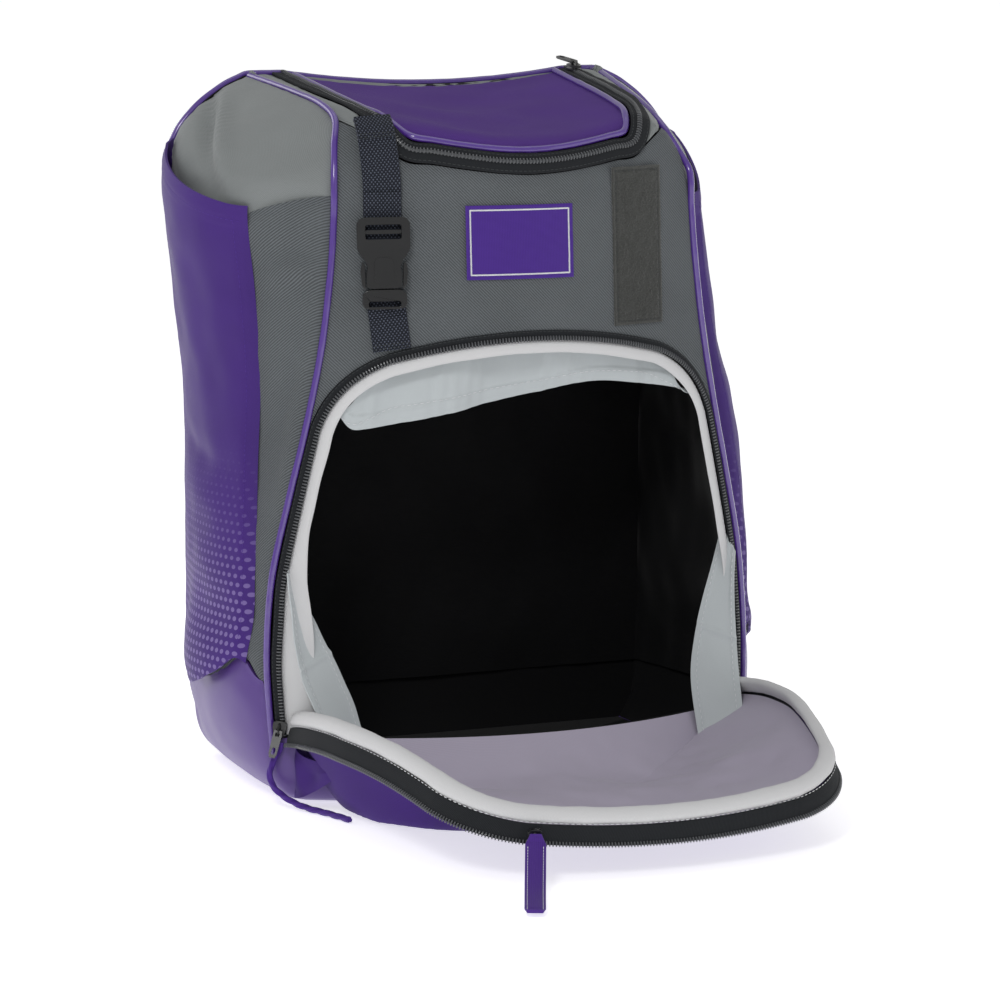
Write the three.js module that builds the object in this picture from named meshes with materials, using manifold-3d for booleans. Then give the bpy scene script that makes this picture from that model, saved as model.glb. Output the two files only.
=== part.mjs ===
// A bat backpack for baseball, standing on its base with the front door let down.
// Millimetres, +Z up, the front faces -Y, and the origin is at the middle of the base's underside.
import * as THREE from "three";
import { mergeVertices } from "three/addons/utils/BufferGeometryUtils.js";
import Module from "manifold-3d";

const wasm = await Module();
wasm.setup();

// Body
const bodyHeight = 466;
const bodyHalfWidth = 174.5;
const frontReach = 111.6;
const backReach = 100;
const frontLean = 45.3;
const backLean = 14;
const frontBow = 53;
const topFall = 18;
const lidSagFront = 16;
const lidSagBack = 8;
const lidSagHalf = 105;
const shoulderHeight = 62;
const bootHeight = 112;
const panelWall = 2.5;
const seamGap = 0.35;
const liftOff = 0.7;

// Front opening and door
const hingeHeight = 48;
const hingeDrop = 2;
const archCorner = 246;
const archCrown = 306;
const archCrownHalf = 96;
const archCrownFall = 13;
const archMargin = 7.2;
const doorRootBack = 33;
const doorRootHeight = 32;
const doorStart = 36;
const doorTilt = 18.5;
const doorDroop = 102;
const doorReach = 285;
const rimHeight = 22;
const rimLean = 12;
const pouchRest = 0.6;
const pouchFree = 14;
const pouchHalf = 140;
const pouchReach = 85;
const pouchMiddle = 100;
const doorMiddle = 185;
const trayHeight = 20;
const hingeSteps = 6;
const liningWall = 1.2;
const liningTop = 345;
const sheetWall = 2;

// Rings of a door sheet as shares of its edge, where each sheet meets the rim in rimLean and
// rimHeight, and the shares of the pouch's size between which it lifts off the floor.
const sheetRings = [1, 0.9, 0.74, 0.5];
const panelSeat = { out: 0.36, up: 0.36 };
const liningSeat = { out: 0.7, up: 0.5 };
const pouchEdge = [0.92, 1.22];
const edgeHold = 14;

// Trims
const pipingRadius = 2.3;
const zipWidth = 6;
const zipThick = 1.8;
const bindingWidth = 8;
const bindingThick = 1.5;
const lidZipWidth = 13;
const webbingWidth = 25;
const webbingThick = 1.8;
const patchWidth = 75;
const patchHeight = 48;
const patchThick = 1.4;
const patchX = -9.7;
const patchZ = 0.7918 * bodyHeight;
const loopX = 79.5;
const loopWidth = 40;
const loopMiddle = 0.779 * bodyHeight;
const loopLength = 104;
const loopThick = 1.5;
const webbingX = -99.7;
const webbingLift = 3.8;
const buckleWidth = 35;
const buckleLength = 58;
const buckleThick = 6;
const clipThick = 5;
const buckleMiddle = 0.7661 * bodyHeight;
const stayWidth = 27;
const pocketHeight = 46;
const pocketMiddle = 272;
const pocketSag = 24;
const sliderWidth = 9;
const sliderLength = 13;
const sliderThick = 6;
const rimSliderX = -90;
const tagWidth = 13;
const tagLength = 71;
const tagThick = 2.4;
const cordRadius = 2.25;

// Back
const strapWidth = 62;
const strapThick = 11;
const strapStand = 42;
const handleStand = 18;

// Half of a strap's padded section, in strapWidth and strapThick.
const padSide = [
  { across: 0.42, up: 0 },
  { across: 0.5, up: 0.2 },
  { across: 0.5, up: 0.75 },
  { across: 0.42, up: 1 },
];

// Sleeves
const sleeveWall = 1.6;
const sleeveBulge = 20;
const mouthDip = 22;
const sleeveFoot = 0.22;
const sleeveMouth = 0.9;
const sleeveMouthRise = 0.045;
const sleeveBackEdge = 8;
const sleeveSeam = 0.035;
const sleeveSteps = 6;
const sleeveLift = 0.7;
const sleeveSink = 12;
const sleeveRound = 0.6;
const sleeveLevels = [0, 0.12, 0.28, 0.46, 0.64, 0.82, 1];
const sleeveFloor = 0.03;

// Widths of the body by height. Every share but the first column's is of bodyHalfWidth.
const sections = [
  { rise: 0, front: 0.962, back: 0.95, left: 0.02, right: 0.02 },
  { rise: 0.06, front: 0.98, back: 0.97, left: 0.07, right: 0.07 },
  { rise: 0.1, front: 0.989, back: 0.975, left: 0.1, right: 0.1 },
  { rise: 0.15, front: 0.996, back: 0.98, left: 0.115, right: 0.115 },
  { rise: 0.2, front: 1, back: 0.985, left: 0.095, right: 0.095 },
  { rise: 0.26, front: 0.99, back: 0.985, left: 0.055, right: 0.06 },
  { rise: 0.322, front: 0.975, back: 0.985, left: 0.055, right: 0.07 },
  { rise: 0.455, front: 0.9, back: 0.985, left: 0.07, right: 0.085 },
  { rise: 0.589, front: 0.818, back: 1, left: 0.1, right: 0.075 },
  { rise: 0.715, front: 0.765, back: 1.03, left: 0.15, right: 0.05 },
  { rise: 0.84, front: 0.737, back: 1.065, left: 0.195, right: 0.035 },
  { rise: 1, front: 0.735, back: 1.07, left: 0.15, right: 0.03 },
];

// Rings of the body from its foot to its top. A ring stands at rise times what the drop leaves of
// the top's height, and is drawn in by shares of the width, of the front reach and of the back's.
const rings = [
  { rise: 0, drop: 1, wide: 0.13, fore: 0.24, aft: 0.12 },
  { rise: 0.009, drop: 1, wide: 0.065, fore: 0.12, aft: 0.06 },
  { rise: 0.032, drop: 1, wide: 0.018, fore: 0.035, aft: 0.015 },
  { rise: 0.07, drop: 1, wide: 0, fore: 0, aft: 0 },
  { rise: 0.17, drop: 1, wide: 0, fore: 0, aft: 0 },
  { rise: 0.28, drop: 1, wide: 0, fore: 0, aft: 0 },
  { rise: 0.45, drop: 1, wide: 0, fore: 0, aft: 0 },
  { rise: 0.64, drop: 1, wide: 0, fore: 0, aft: 0 },
  { rise: 0.83, drop: 1, wide: 0, fore: 0, aft: 0 },
  { rise: 1, drop: 1, wide: 0, fore: 0, aft: 0 },
  { rise: 1, drop: 0.65, wide: 0.03, fore: 0, aft: 0 },
  { rise: 1, drop: 0.38, wide: 0.1, fore: 0.005, aft: 0 },
  { rise: 1, drop: 0.17, wide: 0.19, fore: 0.04, aft: 0 },
  { rise: 1, drop: 0.05, wide: 0.27, fore: 0.12, aft: 0 },
  { rise: 1, drop: 0, wide: 0.34, fore: 0.24, aft: 0.02 },
  { rise: 1, drop: 0, wide: 0.56, fore: 0.5, aft: 0.3 },
  { rise: 1, drop: 0, wide: 0.8, fore: 0.8, aft: 0.7 },
];
const frontSteps = 5;
const sideSteps = 6;
const backSteps = 3;
const bulgeSkew = 0.7;

// Upper edge of the moulded boot in side view, in backReach and bootHeight.
const bootEdge = [
  { back: -0.58, up: 0.715 },
  { back: -0.44, up: 0.75 },
  { back: -0.31, up: 0.85 },
  { back: -0.12, up: 0.77 },
  { back: 0.1, up: 0.68 },
  { back: 0.28, up: 0.66 },
  { back: 0.48, up: 0.785 },
  { back: 0.65, up: 0.93 },
  { back: 0.9, up: 1 },
  { back: 1.4, up: 1 },
];

// The lid's edge: shares of bodyHalfWidth, and along the sides of the reach to the back, along the
// front of bodyHeight.
const lidSides = [
  { x: 0.557, y: 0.86 },
  { x: 0.548, y: 0.6 },
  { x: 0.54, y: 0.3 },
  { x: 0.525, y: 0 },
  { x: 0.5, y: -0.22 },
];
const lidFront = [
  { x: 0.44, z: 0.938 },
  { x: 0.36, z: 0.932 },
  { x: 0.24, z: 0.925 },
  { x: 0.12, z: 0.92 },
];
const lidFrontMiddle = 0.918;
const yokeNotch = { x: 0.52, y: -0.44 };

// The side seams: heights up the front, then where they run over the shoulders, in plan.
const seamLevels = [0.073, 0.129, 0.215, 0.322, 0.429, 0.536, 0.644, 0.751, 0.826, 0.876];
const shoulderSeam = [
  { x: 0.715, y: -0.3 },
  { x: 0.68, y: -0.17 },
  { x: 0.683, y: 0.04 },
  { x: 0.7, y: 0.36 },
  { x: 0.725, y: 0.7 },
  { x: 0.745, y: 0.94 },
];

// Facets
const archSideSteps = 5;
const archTurnSteps = 4;
const archCrownSteps = 3;
const pipingSides = 6;
const pipingSteps = 28;
const archTurnIn = 11;
const archTurnUp = 34;
const splitDepth = -12;
const shoulderTop = 400;
const backSeamRing = 5;
const far = 600;

// Cutters: how deep a groove goes, how far it stands proud, and where a ray starts.
const grooveDepth = 8;
const grooveRise = 4;
const rayStart = 25;
const cutFade = 22;

// The front panel's side edge where it turns in below the lid.
const frontShoulder = [
  { x: 0.71, z: 0.918 },
  { x: 0.676, z: 0.944 },
];
const frontEdgeTop = 0.89;
const frontEdgeStep = 12;

// A sleeve from foot to mouth: its front edge as a share of the reach to the back, and how far it
// stands off the side as shares of sleeveBulge.
const sleeveForm = [
  { level: 0, edge: -0.32, left: 0.35, right: 0.4 },
  { level: 0.15, edge: -0.3, left: 0.5, right: 0.6 },
  { level: 0.45, edge: -0.16, left: 0.6, right: 0.95 },
  { level: 0.75, edge: -0.1, left: 0.7, right: 0.55 },
  { level: 1, edge: -0.09, left: 0.9, right: 0.25 },
];

// The rim's tape and roll in section, from the teeth: outwards in rimLean, up in rimHeight.
const rimTape = [
  { out: 0, up: 0 },
  { out: 0.15, up: 0.015 },
  { out: -0.2, up: 0.56 },
  { out: -0.35, up: 0.545 },
];
const rimRoll = [
  { out: -0.3, up: 0.585 },
  { out: -0.16, up: 0.7 },
  { out: -0.36, up: 0.93 },
  { out: -0.75, up: 1.02 },
  { out: -1.04, up: 0.91 },
  { out: -0.7, up: 0.585 },
];

// A stay from the opening's side to the door: shares of bodyHalfWidth, frontReach and bodyHeight.
const stayRun = [
  { x: 0.868, y: 0.47, z: 0.33 },
  { x: 0.86, y: 0.6, z: 0.25 },
  { x: 0.835, y: 0.74, z: 0.17 },
  { x: 0.79, y: 0.87, z: 0.115 },
];

// The inner pocket's hang behind the arch: across in bodyHalfWidth, behind the front in pocketSag.
const pocketSpots = [
  { x: -0.73, depth: 0.23 },
  { x: -0.55, depth: 0.5 },
  { x: -0.3, depth: 0.83 },
  { x: 0, depth: 1 },
  { x: 0.3, depth: 0.83 },
  { x: 0.55, depth: 0.5 },
  { x: 0.73, depth: 0.23 },
];

// The front webbing from the yoke down: shares of bodyHeight, and how far it lifts off the seams.
const webbingRoot = -0.3;
const upperSpots = [
  { z: 0.94, lift: 1 },
  { z: 0.912, lift: 0.8 },
  { z: 0.876, lift: 0.2 },
  { z: 0.837, lift: 0 },
  { z: 0.796, lift: 0 },
];
const lowerSpots = [
  { x: 0, z: 0.725 },
  { x: 0.08, z: 0.687 },
  { x: 0.16, z: 0.644 },
];

// Right halves of the buckle's outlines, in buckleWidth and buckleLength.
const socketSide = [
  { across: 0.36, up: -0.33 },
  { across: 0.29, up: -0.1 },
  { across: 0.36, up: 0.03 },
  { across: 0.5, up: 0.12 },
  { across: 0.5, up: 0.42 },
  { across: 0.38, up: 0.5 },
];
const buckleSlot = [
  { across: 0.33, up: 0.14 },
  { across: 0.33, up: 0.36 },
];
const clipSide = [
  { across: 0.4, up: -0.52 },
  { across: 0.44, up: -0.42 },
  { across: 0.36, up: -0.345 },
];
const sliderSide = [
  { across: 0.3, up: -0.5 },
  { across: 0.5, up: 0.1 },
  { across: 0.3, up: 0.5 },
];

// The pull tag's fall from the rim's slider to the floor, in tagLength and the slider's height.
const tagSpots = [
  { along: 0, fall: -0.1 },
  { along: 0.06, fall: 0.16 },
  { along: 0.25, fall: 0.52 },
  { along: 0.55, fall: 0.86 },
  { along: 1, fall: 1 },
];

// The cord's route, chosen by hand
const cordRoute = [
  [-168.8, -63, 44.4],
  [-170.2, -62.7, 39.4],
  [-172.4, -62.3, 34.6],
  [-174.8, -62, 29.8],
  [-176.3, -62.1, 24.8],
  [-176.2, -62.8, 19.6],
  [-174.2, -64.2, 14.8],
  [-170.6, -66.4, 10.6],
  [-166, -69.8, 7],
  [-161.6, -74.4, 4.6],
  [-157.4, -80, 3.2],
  [-153.4, -86.6, 2.6],
  [-150, -94, 2.6],
  [-147.2, -101.6, 2.6],
  [-144.6, -109.4, 2.6],
  [-142, -117, 2.6],
];

// The straps' runs on the back: across in bodyHalfWidth, up in bodyHeight, and off the back in
// strapStand, or for the handle in handleStand.
const strapSpots = [
  { x: 0.3, off: 0.015, z: 0.868 },
  { x: 0.31, off: 0.33, z: 0.857 },
  { x: 0.34, off: 0.76, z: 0.815 },
  { x: 0.43, off: 1, z: 0.7 },
  { x: 0.53, off: 0.95, z: 0.57 },
  { x: 0.62, off: 0.72, z: 0.46 },
];
const tailSpots = [
  { x: 0.635, off: 0.79, z: 0.455 },
  { x: 0.67, off: 0.57, z: 0.39 },
  { x: 0.72, off: 0.26, z: 0.315 },
  { x: 0.755, off: 0.015, z: 0.27 },
];
const handleSpots = [
  { x: -0.22, off: 0.035, z: 0.925 },
  { x: -0.18, off: 0.72, z: 0.938 },
  { x: -0.06, off: 1, z: 0.945 },
  { x: 0.06, off: 1, z: 0.945 },
  { x: 0.18, off: 0.72, z: 0.938 },
  { x: 0.22, off: 0.035, z: 0.925 },
];

const colours = {
  purple: [0x4b2f7a, 0.75],
  boot: [0x5a4380, 0.4],
  piping: [0x6a3fa0, 0.3],
  twill: [0x5a5d5c, 0.85],
  grey: [0x808482, 0.85],
  black: [0x26262a, 0.7],
  plastic: [0x1c1c1e, 0.45],
  binding: [0xcfcfcf, 0.8],
  satin: [0xaab2b4, 0.5],
  webbing: [0x2d323d, 0.85],
  fuzz: [0x4a4a48, 0.95],
  lavender: [0xb5b0bc, 0.6],
};

const bag = new THREE.Group();

function add(name, geometry, colour) {
  const [color, roughness] = colours[colour];
  const plain = geometry.index ? geometry : mergeVertices(geometry);
  plain.computeVertexNormals();
  const mesh = new THREE.Mesh(plain, new THREE.MeshStandardMaterial({ color, roughness }));
  mesh.name = name;
  bag.add(mesh);
  return mesh;
}

// Smooth reading of a table: the value of a column where the key column has a given value.
function read(rows, key, column, at) {
  const last = rows.length - 1;
  if (at <= rows[0][key]) return rows[0][column];
  if (at >= rows[last][key]) return rows[last][column];
  const i = rows.findIndex((row) => row[key] > at) - 1;
  const slope = (k) => {
    const below = rows[Math.max(k - 1, 0)];
    const above = rows[Math.min(k + 1, last)];
    return (above[column] - below[column]) / (above[key] - below[key]);
  };
  const span = rows[i + 1][key] - rows[i][key];
  const t = (at - rows[i][key]) / span;
  const rest = 1 - t;
  const ends = rows[i][column] * (1 + 2 * t) * rest * rest + rows[i + 1][column] * t * t * (3 - 2 * t);
  return ends + span * (slope(i) * t * rest * rest - slope(i + 1) * t * t * rest);
}

const topReach = backReach + backLean;
const frontY = (x, z) => -frontReach + frontLean * (z / bodyHeight) + frontBow * (x / bodyHalfWidth) ** 2;
const backY = (z) => backReach + backLean * (z / bodyHeight);
const halfAt = (z, column) => bodyHalfWidth * read(sections, "rise", column, z / bodyHeight);

function topZ(x, y) {
  const forward = (topReach - y) / (topReach + frontReach - frontLean);
  const across = Math.max(0, 1 - (x / lidSagHalf) ** 2);
  return bodyHeight - topFall * forward - (lidSagBack + (lidSagFront - lidSagBack) * forward) * across;
}

// A point of the body's outline at a height, by its place on the front, a side or the back.
function planPoint({ hand, front, side, back }, z) {
  const seamX = halfAt(z, "front");
  const cornerX = halfAt(z, "back");
  if (front !== undefined) return [hand * seamX * front, frontY(seamX * front, z)];
  if (back !== undefined) return [hand * cornerX * (1 - back), backY(z)];
  const seamY = frontY(seamX, z);
  const bulge = halfAt(z, hand > 0 ? "right" : "left") * Math.sin(Math.PI * side ** bulgeSkew);
  return [hand * (seamX + (cornerX - seamX) * side + bulge), seamY + (backY(z) - seamY) * side];
}

const halfPlan = [];
for (let i = 0; i <= frontSteps; i++) halfPlan.push({ front: i / frontSteps });
for (let i = 1; i <= sideSteps; i++) halfPlan.push({ side: i / sideSteps });
for (let i = 1; i <= backSteps; i++) halfPlan.push({ back: i / backSteps });
const plan = [
  ...halfPlan.map((place) => ({ ...place, hand: 1 })),
  ...halfPlan.slice(1, -1).reverse().map((place) => ({ ...place, hand: -1 })),
];

function ringPoint(place, ring) {
  const rough = planPoint(place, ring.rise * (bodyHeight - ring.drop * shoulderHeight));
  const z = ring.rise * (topZ(...rough) - ring.drop * shoulderHeight);
  const [x, y] = planPoint(place, z);
  const px = x * (1 - ring.wide);
  const py = y * (1 - (y < 0 ? ring.fore : ring.aft));
  return new THREE.Vector3(px, py, ring.rise * (topZ(px, py) - ring.drop * shoulderHeight));
}

// A closed surface through rings of points, closed at each end by a fan about its middle.
function loft(sets) {
  const count = sets[0].length;
  const points = sets.flat();
  const faces = [];
  const vertex = (row, i) => row * count + (i % count);
  for (let row = 0; row + 1 < sets.length; row++)
    for (let i = 0; i < count; i++) {
      faces.push(vertex(row, i), vertex(row, i + 1), vertex(row + 1, i + 1));
      faces.push(vertex(row, i), vertex(row + 1, i + 1), vertex(row + 1, i));
    }
  const middle = (set) => set.reduce((sum, p) => sum.add(p), new THREE.Vector3()).divideScalar(set.length);
  const first = points.push(middle(sets[0])) - 1;
  const last = points.push(middle(sets[sets.length - 1])) - 1;
  for (let i = 0; i < count; i++) {
    faces.push(first, vertex(0, i + 1), vertex(0, i));
    faces.push(last, vertex(sets.length - 1, i), vertex(sets.length - 1, i + 1));
  }
  return facedOut(points, faces);
}

function facedOut(points, faces) {
  let volume = 0;
  for (let i = 0; i < faces.length; i += 3)
    volume += points[faces[i]].dot(points[faces[i + 1]].clone().cross(points[faces[i + 2]]));
  if (volume < 0)
    for (let i = 0; i < faces.length; i += 3) [faces[i + 1], faces[i + 2]] = [faces[i + 2], faces[i + 1]];
  return new THREE.BufferGeometry().setFromPoints(points).setIndex(faces);
}

// Joins and cuts
function solid(geometry) {
  const bare = geometry.clone();
  bare.deleteAttribute("normal");
  bare.deleteAttribute("uv");
  const merged = mergeVertices(bare, 1e-4);
  const triVerts = new Uint32Array(merged.index.array);
  const vertProperties = new Float32Array(merged.attributes.position.array);
  return new wasm.Manifold(new wasm.Mesh({ numProp: 3, vertProperties, triVerts }));
}

function geometryOf(body) {
  const mesh = body.getMesh();
  const kept = [];
  for (let i = 0; i < mesh.numVert; i++)
    kept.push(...mesh.vertProperties.subarray(i * mesh.numProp, i * mesh.numProp + 3));
  const geometry = new THREE.BufferGeometry();
  geometry.setAttribute("position", new THREE.Float32BufferAttribute(kept, 3));
  return geometry.setIndex([...mesh.triVerts]);
}

// A straight-sided block from an outline. The axis is the one that it runs along.
function block(outline, axis, from, to) {
  const shape = new THREE.Shape(outline.map(([a, b]) => new THREE.Vector2(a, b)));
  const geometry = new THREE.ExtrudeGeometry(shape, { depth: to - from, bevelEnabled: false });
  const [x, y, z] = [new THREE.Vector3(1, 0, 0), new THREE.Vector3(0, 1, 0), new THREE.Vector3(0, 0, 1)];
  const turn = new THREE.Matrix4();
  if (axis === "x") turn.makeBasis(y, z, x).setPosition(from, 0, 0);
  if (axis === "y") turn.makeBasis(x, z, y.negate()).setPosition(0, to, 0);
  if (axis === "z") turn.setPosition(0, 0, from);
  return geometry.applyMatrix4(turn);
}

const circle = (radius, sides) => {
  const outline = [];
  for (let i = 0; i < sides; i++) {
    const turn = (2 * Math.PI * i) / sides;
    outline.push(new THREE.Vector2(radius * Math.cos(turn), radius * Math.sin(turn)));
  }
  return new THREE.Shape(outline);
};

function tube(points, radius, sides, steps) {
  const extrudePath = new THREE.CatmullRomCurve3(points, false, "centripetal");
  return new THREE.ExtrudeGeometry(circle(radius, sides), { steps, extrudePath, bevelEnabled: false });
}

// Places on the outer surface
const outerRings = rings.map((ring) => plan.map((place) => ringPoint(place, ring)));
const outerGeometry = loft(outerRings);

// The same closed surface moved inwards by a distance, which stays true across the corners.
function inset(geometry, distance) {
  const { position } = geometry.attributes;
  const index = geometry.index.array;
  const corners = Array.from({ length: position.count }, () => []);
  const point = (i) => new THREE.Vector3().fromBufferAttribute(position, i);
  for (let i = 0; i < index.length; i += 3) {
    const [a, b, c] = [point(index[i]), point(index[i + 1]), point(index[i + 2])];
    const normal = b.clone().sub(a).cross(c.clone().sub(a)).normalize();
    for (let k = 0; k < 3; k++) corners[index[i + k]].push(normal);
  }
  const moved = corners.map((normals, i) => {
    const mean = normals.reduce((sum, n) => sum.add(n), new THREE.Vector3()).normalize();
    const least = Math.min(...normals.map((n) => n.dot(mean)));
    return point(i).addScaledVector(mean, -distance / Math.max(least, 0.68));
  });
  return new THREE.BufferGeometry().setFromPoints(moved).setIndex([...index]);
}

const target = new THREE.Mesh(outerGeometry, new THREE.MeshBasicMaterial({ side: THREE.DoubleSide }));
const caster = new THREE.Raycaster();
const probe = bodyHeight;

function seat(from, direction) {
  caster.set(from, direction.clone().normalize());
  const [hit] = caster.intersectObject(target);
  const out = hit.face.normal.clone();
  if (out.dot(direction) > 0) out.negate();
  return { at: hit.point, out };
}
const seatFront = (x, z) => seat(new THREE.Vector3(x, -probe, z), new THREE.Vector3(0, 1, 0));
const seatTop = (x, y) => seat(new THREE.Vector3(x, y, 2 * probe), new THREE.Vector3(0, 0, -1));
const seatSide = (hand, y, z) =>
  seat(new THREE.Vector3(hand * probe, y, z), new THREE.Vector3(-hand, 0, 0));

// A band along places of a surface. Its outline is across the run and out of the surface.
function band(places, outline) {
  const sets = places.map(({ at, out }, i) => {
    const before = places[Math.max(i - 1, 0)].at;
    const after = places[Math.min(i + 1, places.length - 1)].at;
    const along = after.clone().sub(before).normalize();
    const across = along.clone().cross(out).normalize();
    const up = across.clone().cross(along).normalize();
    return outline.map(([a, b]) => at.clone().addScaledVector(across, a).addScaledVector(up, b));
  });
  return loft(sets);
}
const flat = (from, to, low, high) => [[from, low], [to, low], [to, high], [from, high]];

function softened(places, rounds) {
  let outs = places.map((place) => place.out);
  for (let k = 0; k < rounds; k++)
    outs = outs.map((out, i) => {
      const before = outs[Math.max(i - 1, 0)];
      const after = outs[Math.min(i + 1, outs.length - 1)];
      return out.clone().multiplyScalar(2).add(before).add(after).normalize();
    });
  return places.map(({ at }, i) => ({ at, out: outs[i] }));
}

// Shell and the blocks that part its panels
const shell = solid(outerGeometry).subtract(solid(inset(outerGeometry, panelWall)));

function seamPlaces(hand) {
  const wall = seamLevels.map((level) => {
    const z = level * bodyHeight;
    const x = hand * halfAt(z, "front");
    return { at: new THREE.Vector3(x, frontY(x, z), z), out: new THREE.Vector3(0.8 * hand, -0.6, 0) };
  });
  const over = shoulderSeam.map(({ x, y }) => seatTop(hand * x * bodyHalfWidth, y * topReach));
  return softened([...wall, ...over], 2);
}
const seamPoints = (hand) => seamPlaces(hand).map(({ at }) => at);

const frontEdge = [];
for (let z = 0; z <= frontEdgeTop * bodyHeight; z += frontEdgeStep) frontEdge.push([halfAt(z, "front"), z]);
for (const { x, z } of frontShoulder) frontEdge.push([x * bodyHalfWidth, z * bodyHeight]);
frontEdge.push([frontEdge[frontEdge.length - 1][0], far]);
const mirrored = (edge) => [...edge, ...[...edge].reverse().map(([a, b]) => [-a, b])];
const frontBlock = (gap) => {
  const edge = mirrored(frontEdge.map(([x, z]) => [x + gap, z]));
  return solid(block(edge, "y", -far, splitDepth + gap));
};

// The arch of the opening, from its left foot over the crown to its right foot, moved out by a margin.
function archPath(margin) {
  const right = [];
  const side = (z) => halfAt(z, "front") - archMargin;
  const crown = (x) => archCrown - archCrownFall * (x / archCrownHalf) ** 2;
  for (let i = 0; i <= archSideSteps; i++) {
    const z = hingeHeight + ((archCorner - hingeHeight) * i) / archSideSteps;
    right.push(new THREE.Vector2(side(z), z));
  }
  const end = new THREE.Vector2(archCrownHalf, crown(archCrownHalf));
  const turn = new THREE.Vector2(side(archCorner) - archTurnIn, archCorner + archTurnUp);
  const bend = new THREE.QuadraticBezierCurve(right[archSideSteps], turn, end);
  right.push(...bend.getPoints(archTurnSteps).slice(1));
  for (let i = 1; i <= archCrownSteps; i++) {
    const x = archCrownHalf * (1 - i / archCrownSteps);
    right.push(new THREE.Vector2(x, crown(x)));
  }
  const path = [...right.map(({ x, y }) => new THREE.Vector2(-x, y)), ...right.slice(0, -1).reverse()];
  return path.map((point, i) => {
    const before = path[Math.max(i - 1, 0)];
    const after = path[Math.min(i + 1, path.length - 1)];
    const along = after.clone().sub(before).normalize();
    return new THREE.Vector2(point.x - along.y * margin, point.y + along.x * margin);
  });
}

// A place on the front face, from its formula.
function frontPlace(x, z, depth = 0) {
  const slope = (2 * frontBow * x) / bodyHalfWidth ** 2;
  const out = new THREE.Vector3(slope, -1, frontLean / bodyHeight).normalize();
  return { at: new THREE.Vector3(x, frontY(x, z), z).addScaledVector(out, -depth), out };
}

// What the opening takes out of the front: the arch with its zip, and below the arch's corners
// all that lies between the side seams.
const archCut = archPath(zipWidth - 1 + seamGap).map(({ x, y }) => {
  const below = Math.min(1, Math.max(0, (archCorner - y) / cutFade + 1 / 3));
  return [x + Math.sign(x) * below * archMargin, y];
});
const hingeCut = hingeHeight - hingeDrop + seamGap;
archCut[0][1] = hingeCut;
archCut[archCut.length - 1][1] = hingeCut;
const archBlock = solid(block(archCut, "y", -far, splitDepth));

const bootRim = bootEdge.map(({ back, up }) => ({ back: back * backReach, up: up * bootHeight }));
const bootOutline = (gap) => [
  [-far, -far],
  [-far, hingeHeight - hingeDrop + gap],
  [bootRim[0].back - gap, hingeHeight - hingeDrop + gap],
  ...bootRim.map(({ back, up }) => [back - gap, up + gap]),
  [far, bootHeight + gap],
  [far, -far],
];
const bootBlock = solid(block(bootOutline(0), "x", -far, far));
const bootBlockWide = solid(block(bootOutline(seamGap), "x", -far, far));

// Lid: its edge runs from the left back corner over the front to the right back corner.
function lidPlaces() {
  const half = (hand) => [
    ...lidSides.map(({ x, y }) => seatTop(hand * x * bodyHalfWidth, y * topReach)),
    ...lidFront.map(({ x, z }) => seatFront(hand * x * bodyHalfWidth, z * bodyHeight)),
  ];
  return softened([...half(-1), seatFront(0, lidFrontMiddle * bodyHeight), ...half(1).reverse()], 3);
}
const lidRun = lidPlaces();

// Places beside a run, set back on the surface.
function beside(run, distance) {
  const moved = run.map(({ at, out }, i) => {
    const before = run[Math.max(i - 1, 0)].at;
    const after = run[Math.min(i + 1, run.length - 1)].at;
    const across = after.clone().sub(before).cross(out).normalize();
    const from = at.clone().addScaledVector(across, distance).addScaledVector(out, rayStart);
    return seat(from, out.clone().negate());
  });
  return softened(moved, 3);
}
const zipRun = beside(lidRun, pipingRadius + 3 * seamGap + lidZipWidth / 2);
const zipHalf = lidZipWidth / 2;
const grooveHalf = pipingRadius + 3.4 * seamGap;
const grooveOutline = flat(-grooveHalf, grooveHalf, -grooveDepth, grooveRise);
const lidEdge = lidRun.map(({ at }) => at);
const lidBack = lidEdge[0].y;
const zipOutline = flat(-zipHalf - 2 * seamGap, zipHalf + 2 * seamGap, 1 - grooveDepth, 1 + grooveRise);
const zipCutter = solid(band(zipRun, zipOutline)).add(solid(band(lidRun, grooveOutline)));
const lidOutline = lidEdge.map(({ x, y }) => [x, y]);
const lidBlock = solid(block(lidOutline, "z", shoulderTop, far));
const lidHalf = lidEdge[lidEdge.length - 1].x;
const hingeSlot = solid(
  block(mirrored([[lidHalf, lidBack], [lidHalf, lidBack + seamGap]]), "z", shoulderTop, far),
);

// Yoke: the top round the lid, inside the shoulder seams.
const yokeOutline = [
  yokeNotch,
  ...shoulderSeam.slice(1),
  { x: shoulderSeam[shoulderSeam.length - 1].x, y: 1.5 },
].map(({ x, y }) => [x * bodyHalfWidth, y * topReach]);
const yokeBlock = (gap) => {
  const edge = mirrored(yokeOutline.map(([x, y]) => [x + gap, y - gap]));
  return solid(block(edge, "z", shoulderTop, far));
};

const backOutline = (gap) => [
  [backY(-far) - panelWall - gap, -far],
  [backY(far) - panelWall - gap, far],
  [far, far],
  [far, -far],
];
const backBlock = solid(block(backOutline(0), "x", -far, far));
const backBlockWide = solid(block(backOutline(seamGap), "x", -far, far));
const half = (hand) => {
  const edge = [[0, -far], [hand * far, -far], [hand * far, far], [0, far]];
  return solid(block(edge, "z", -far, far));
};

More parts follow.
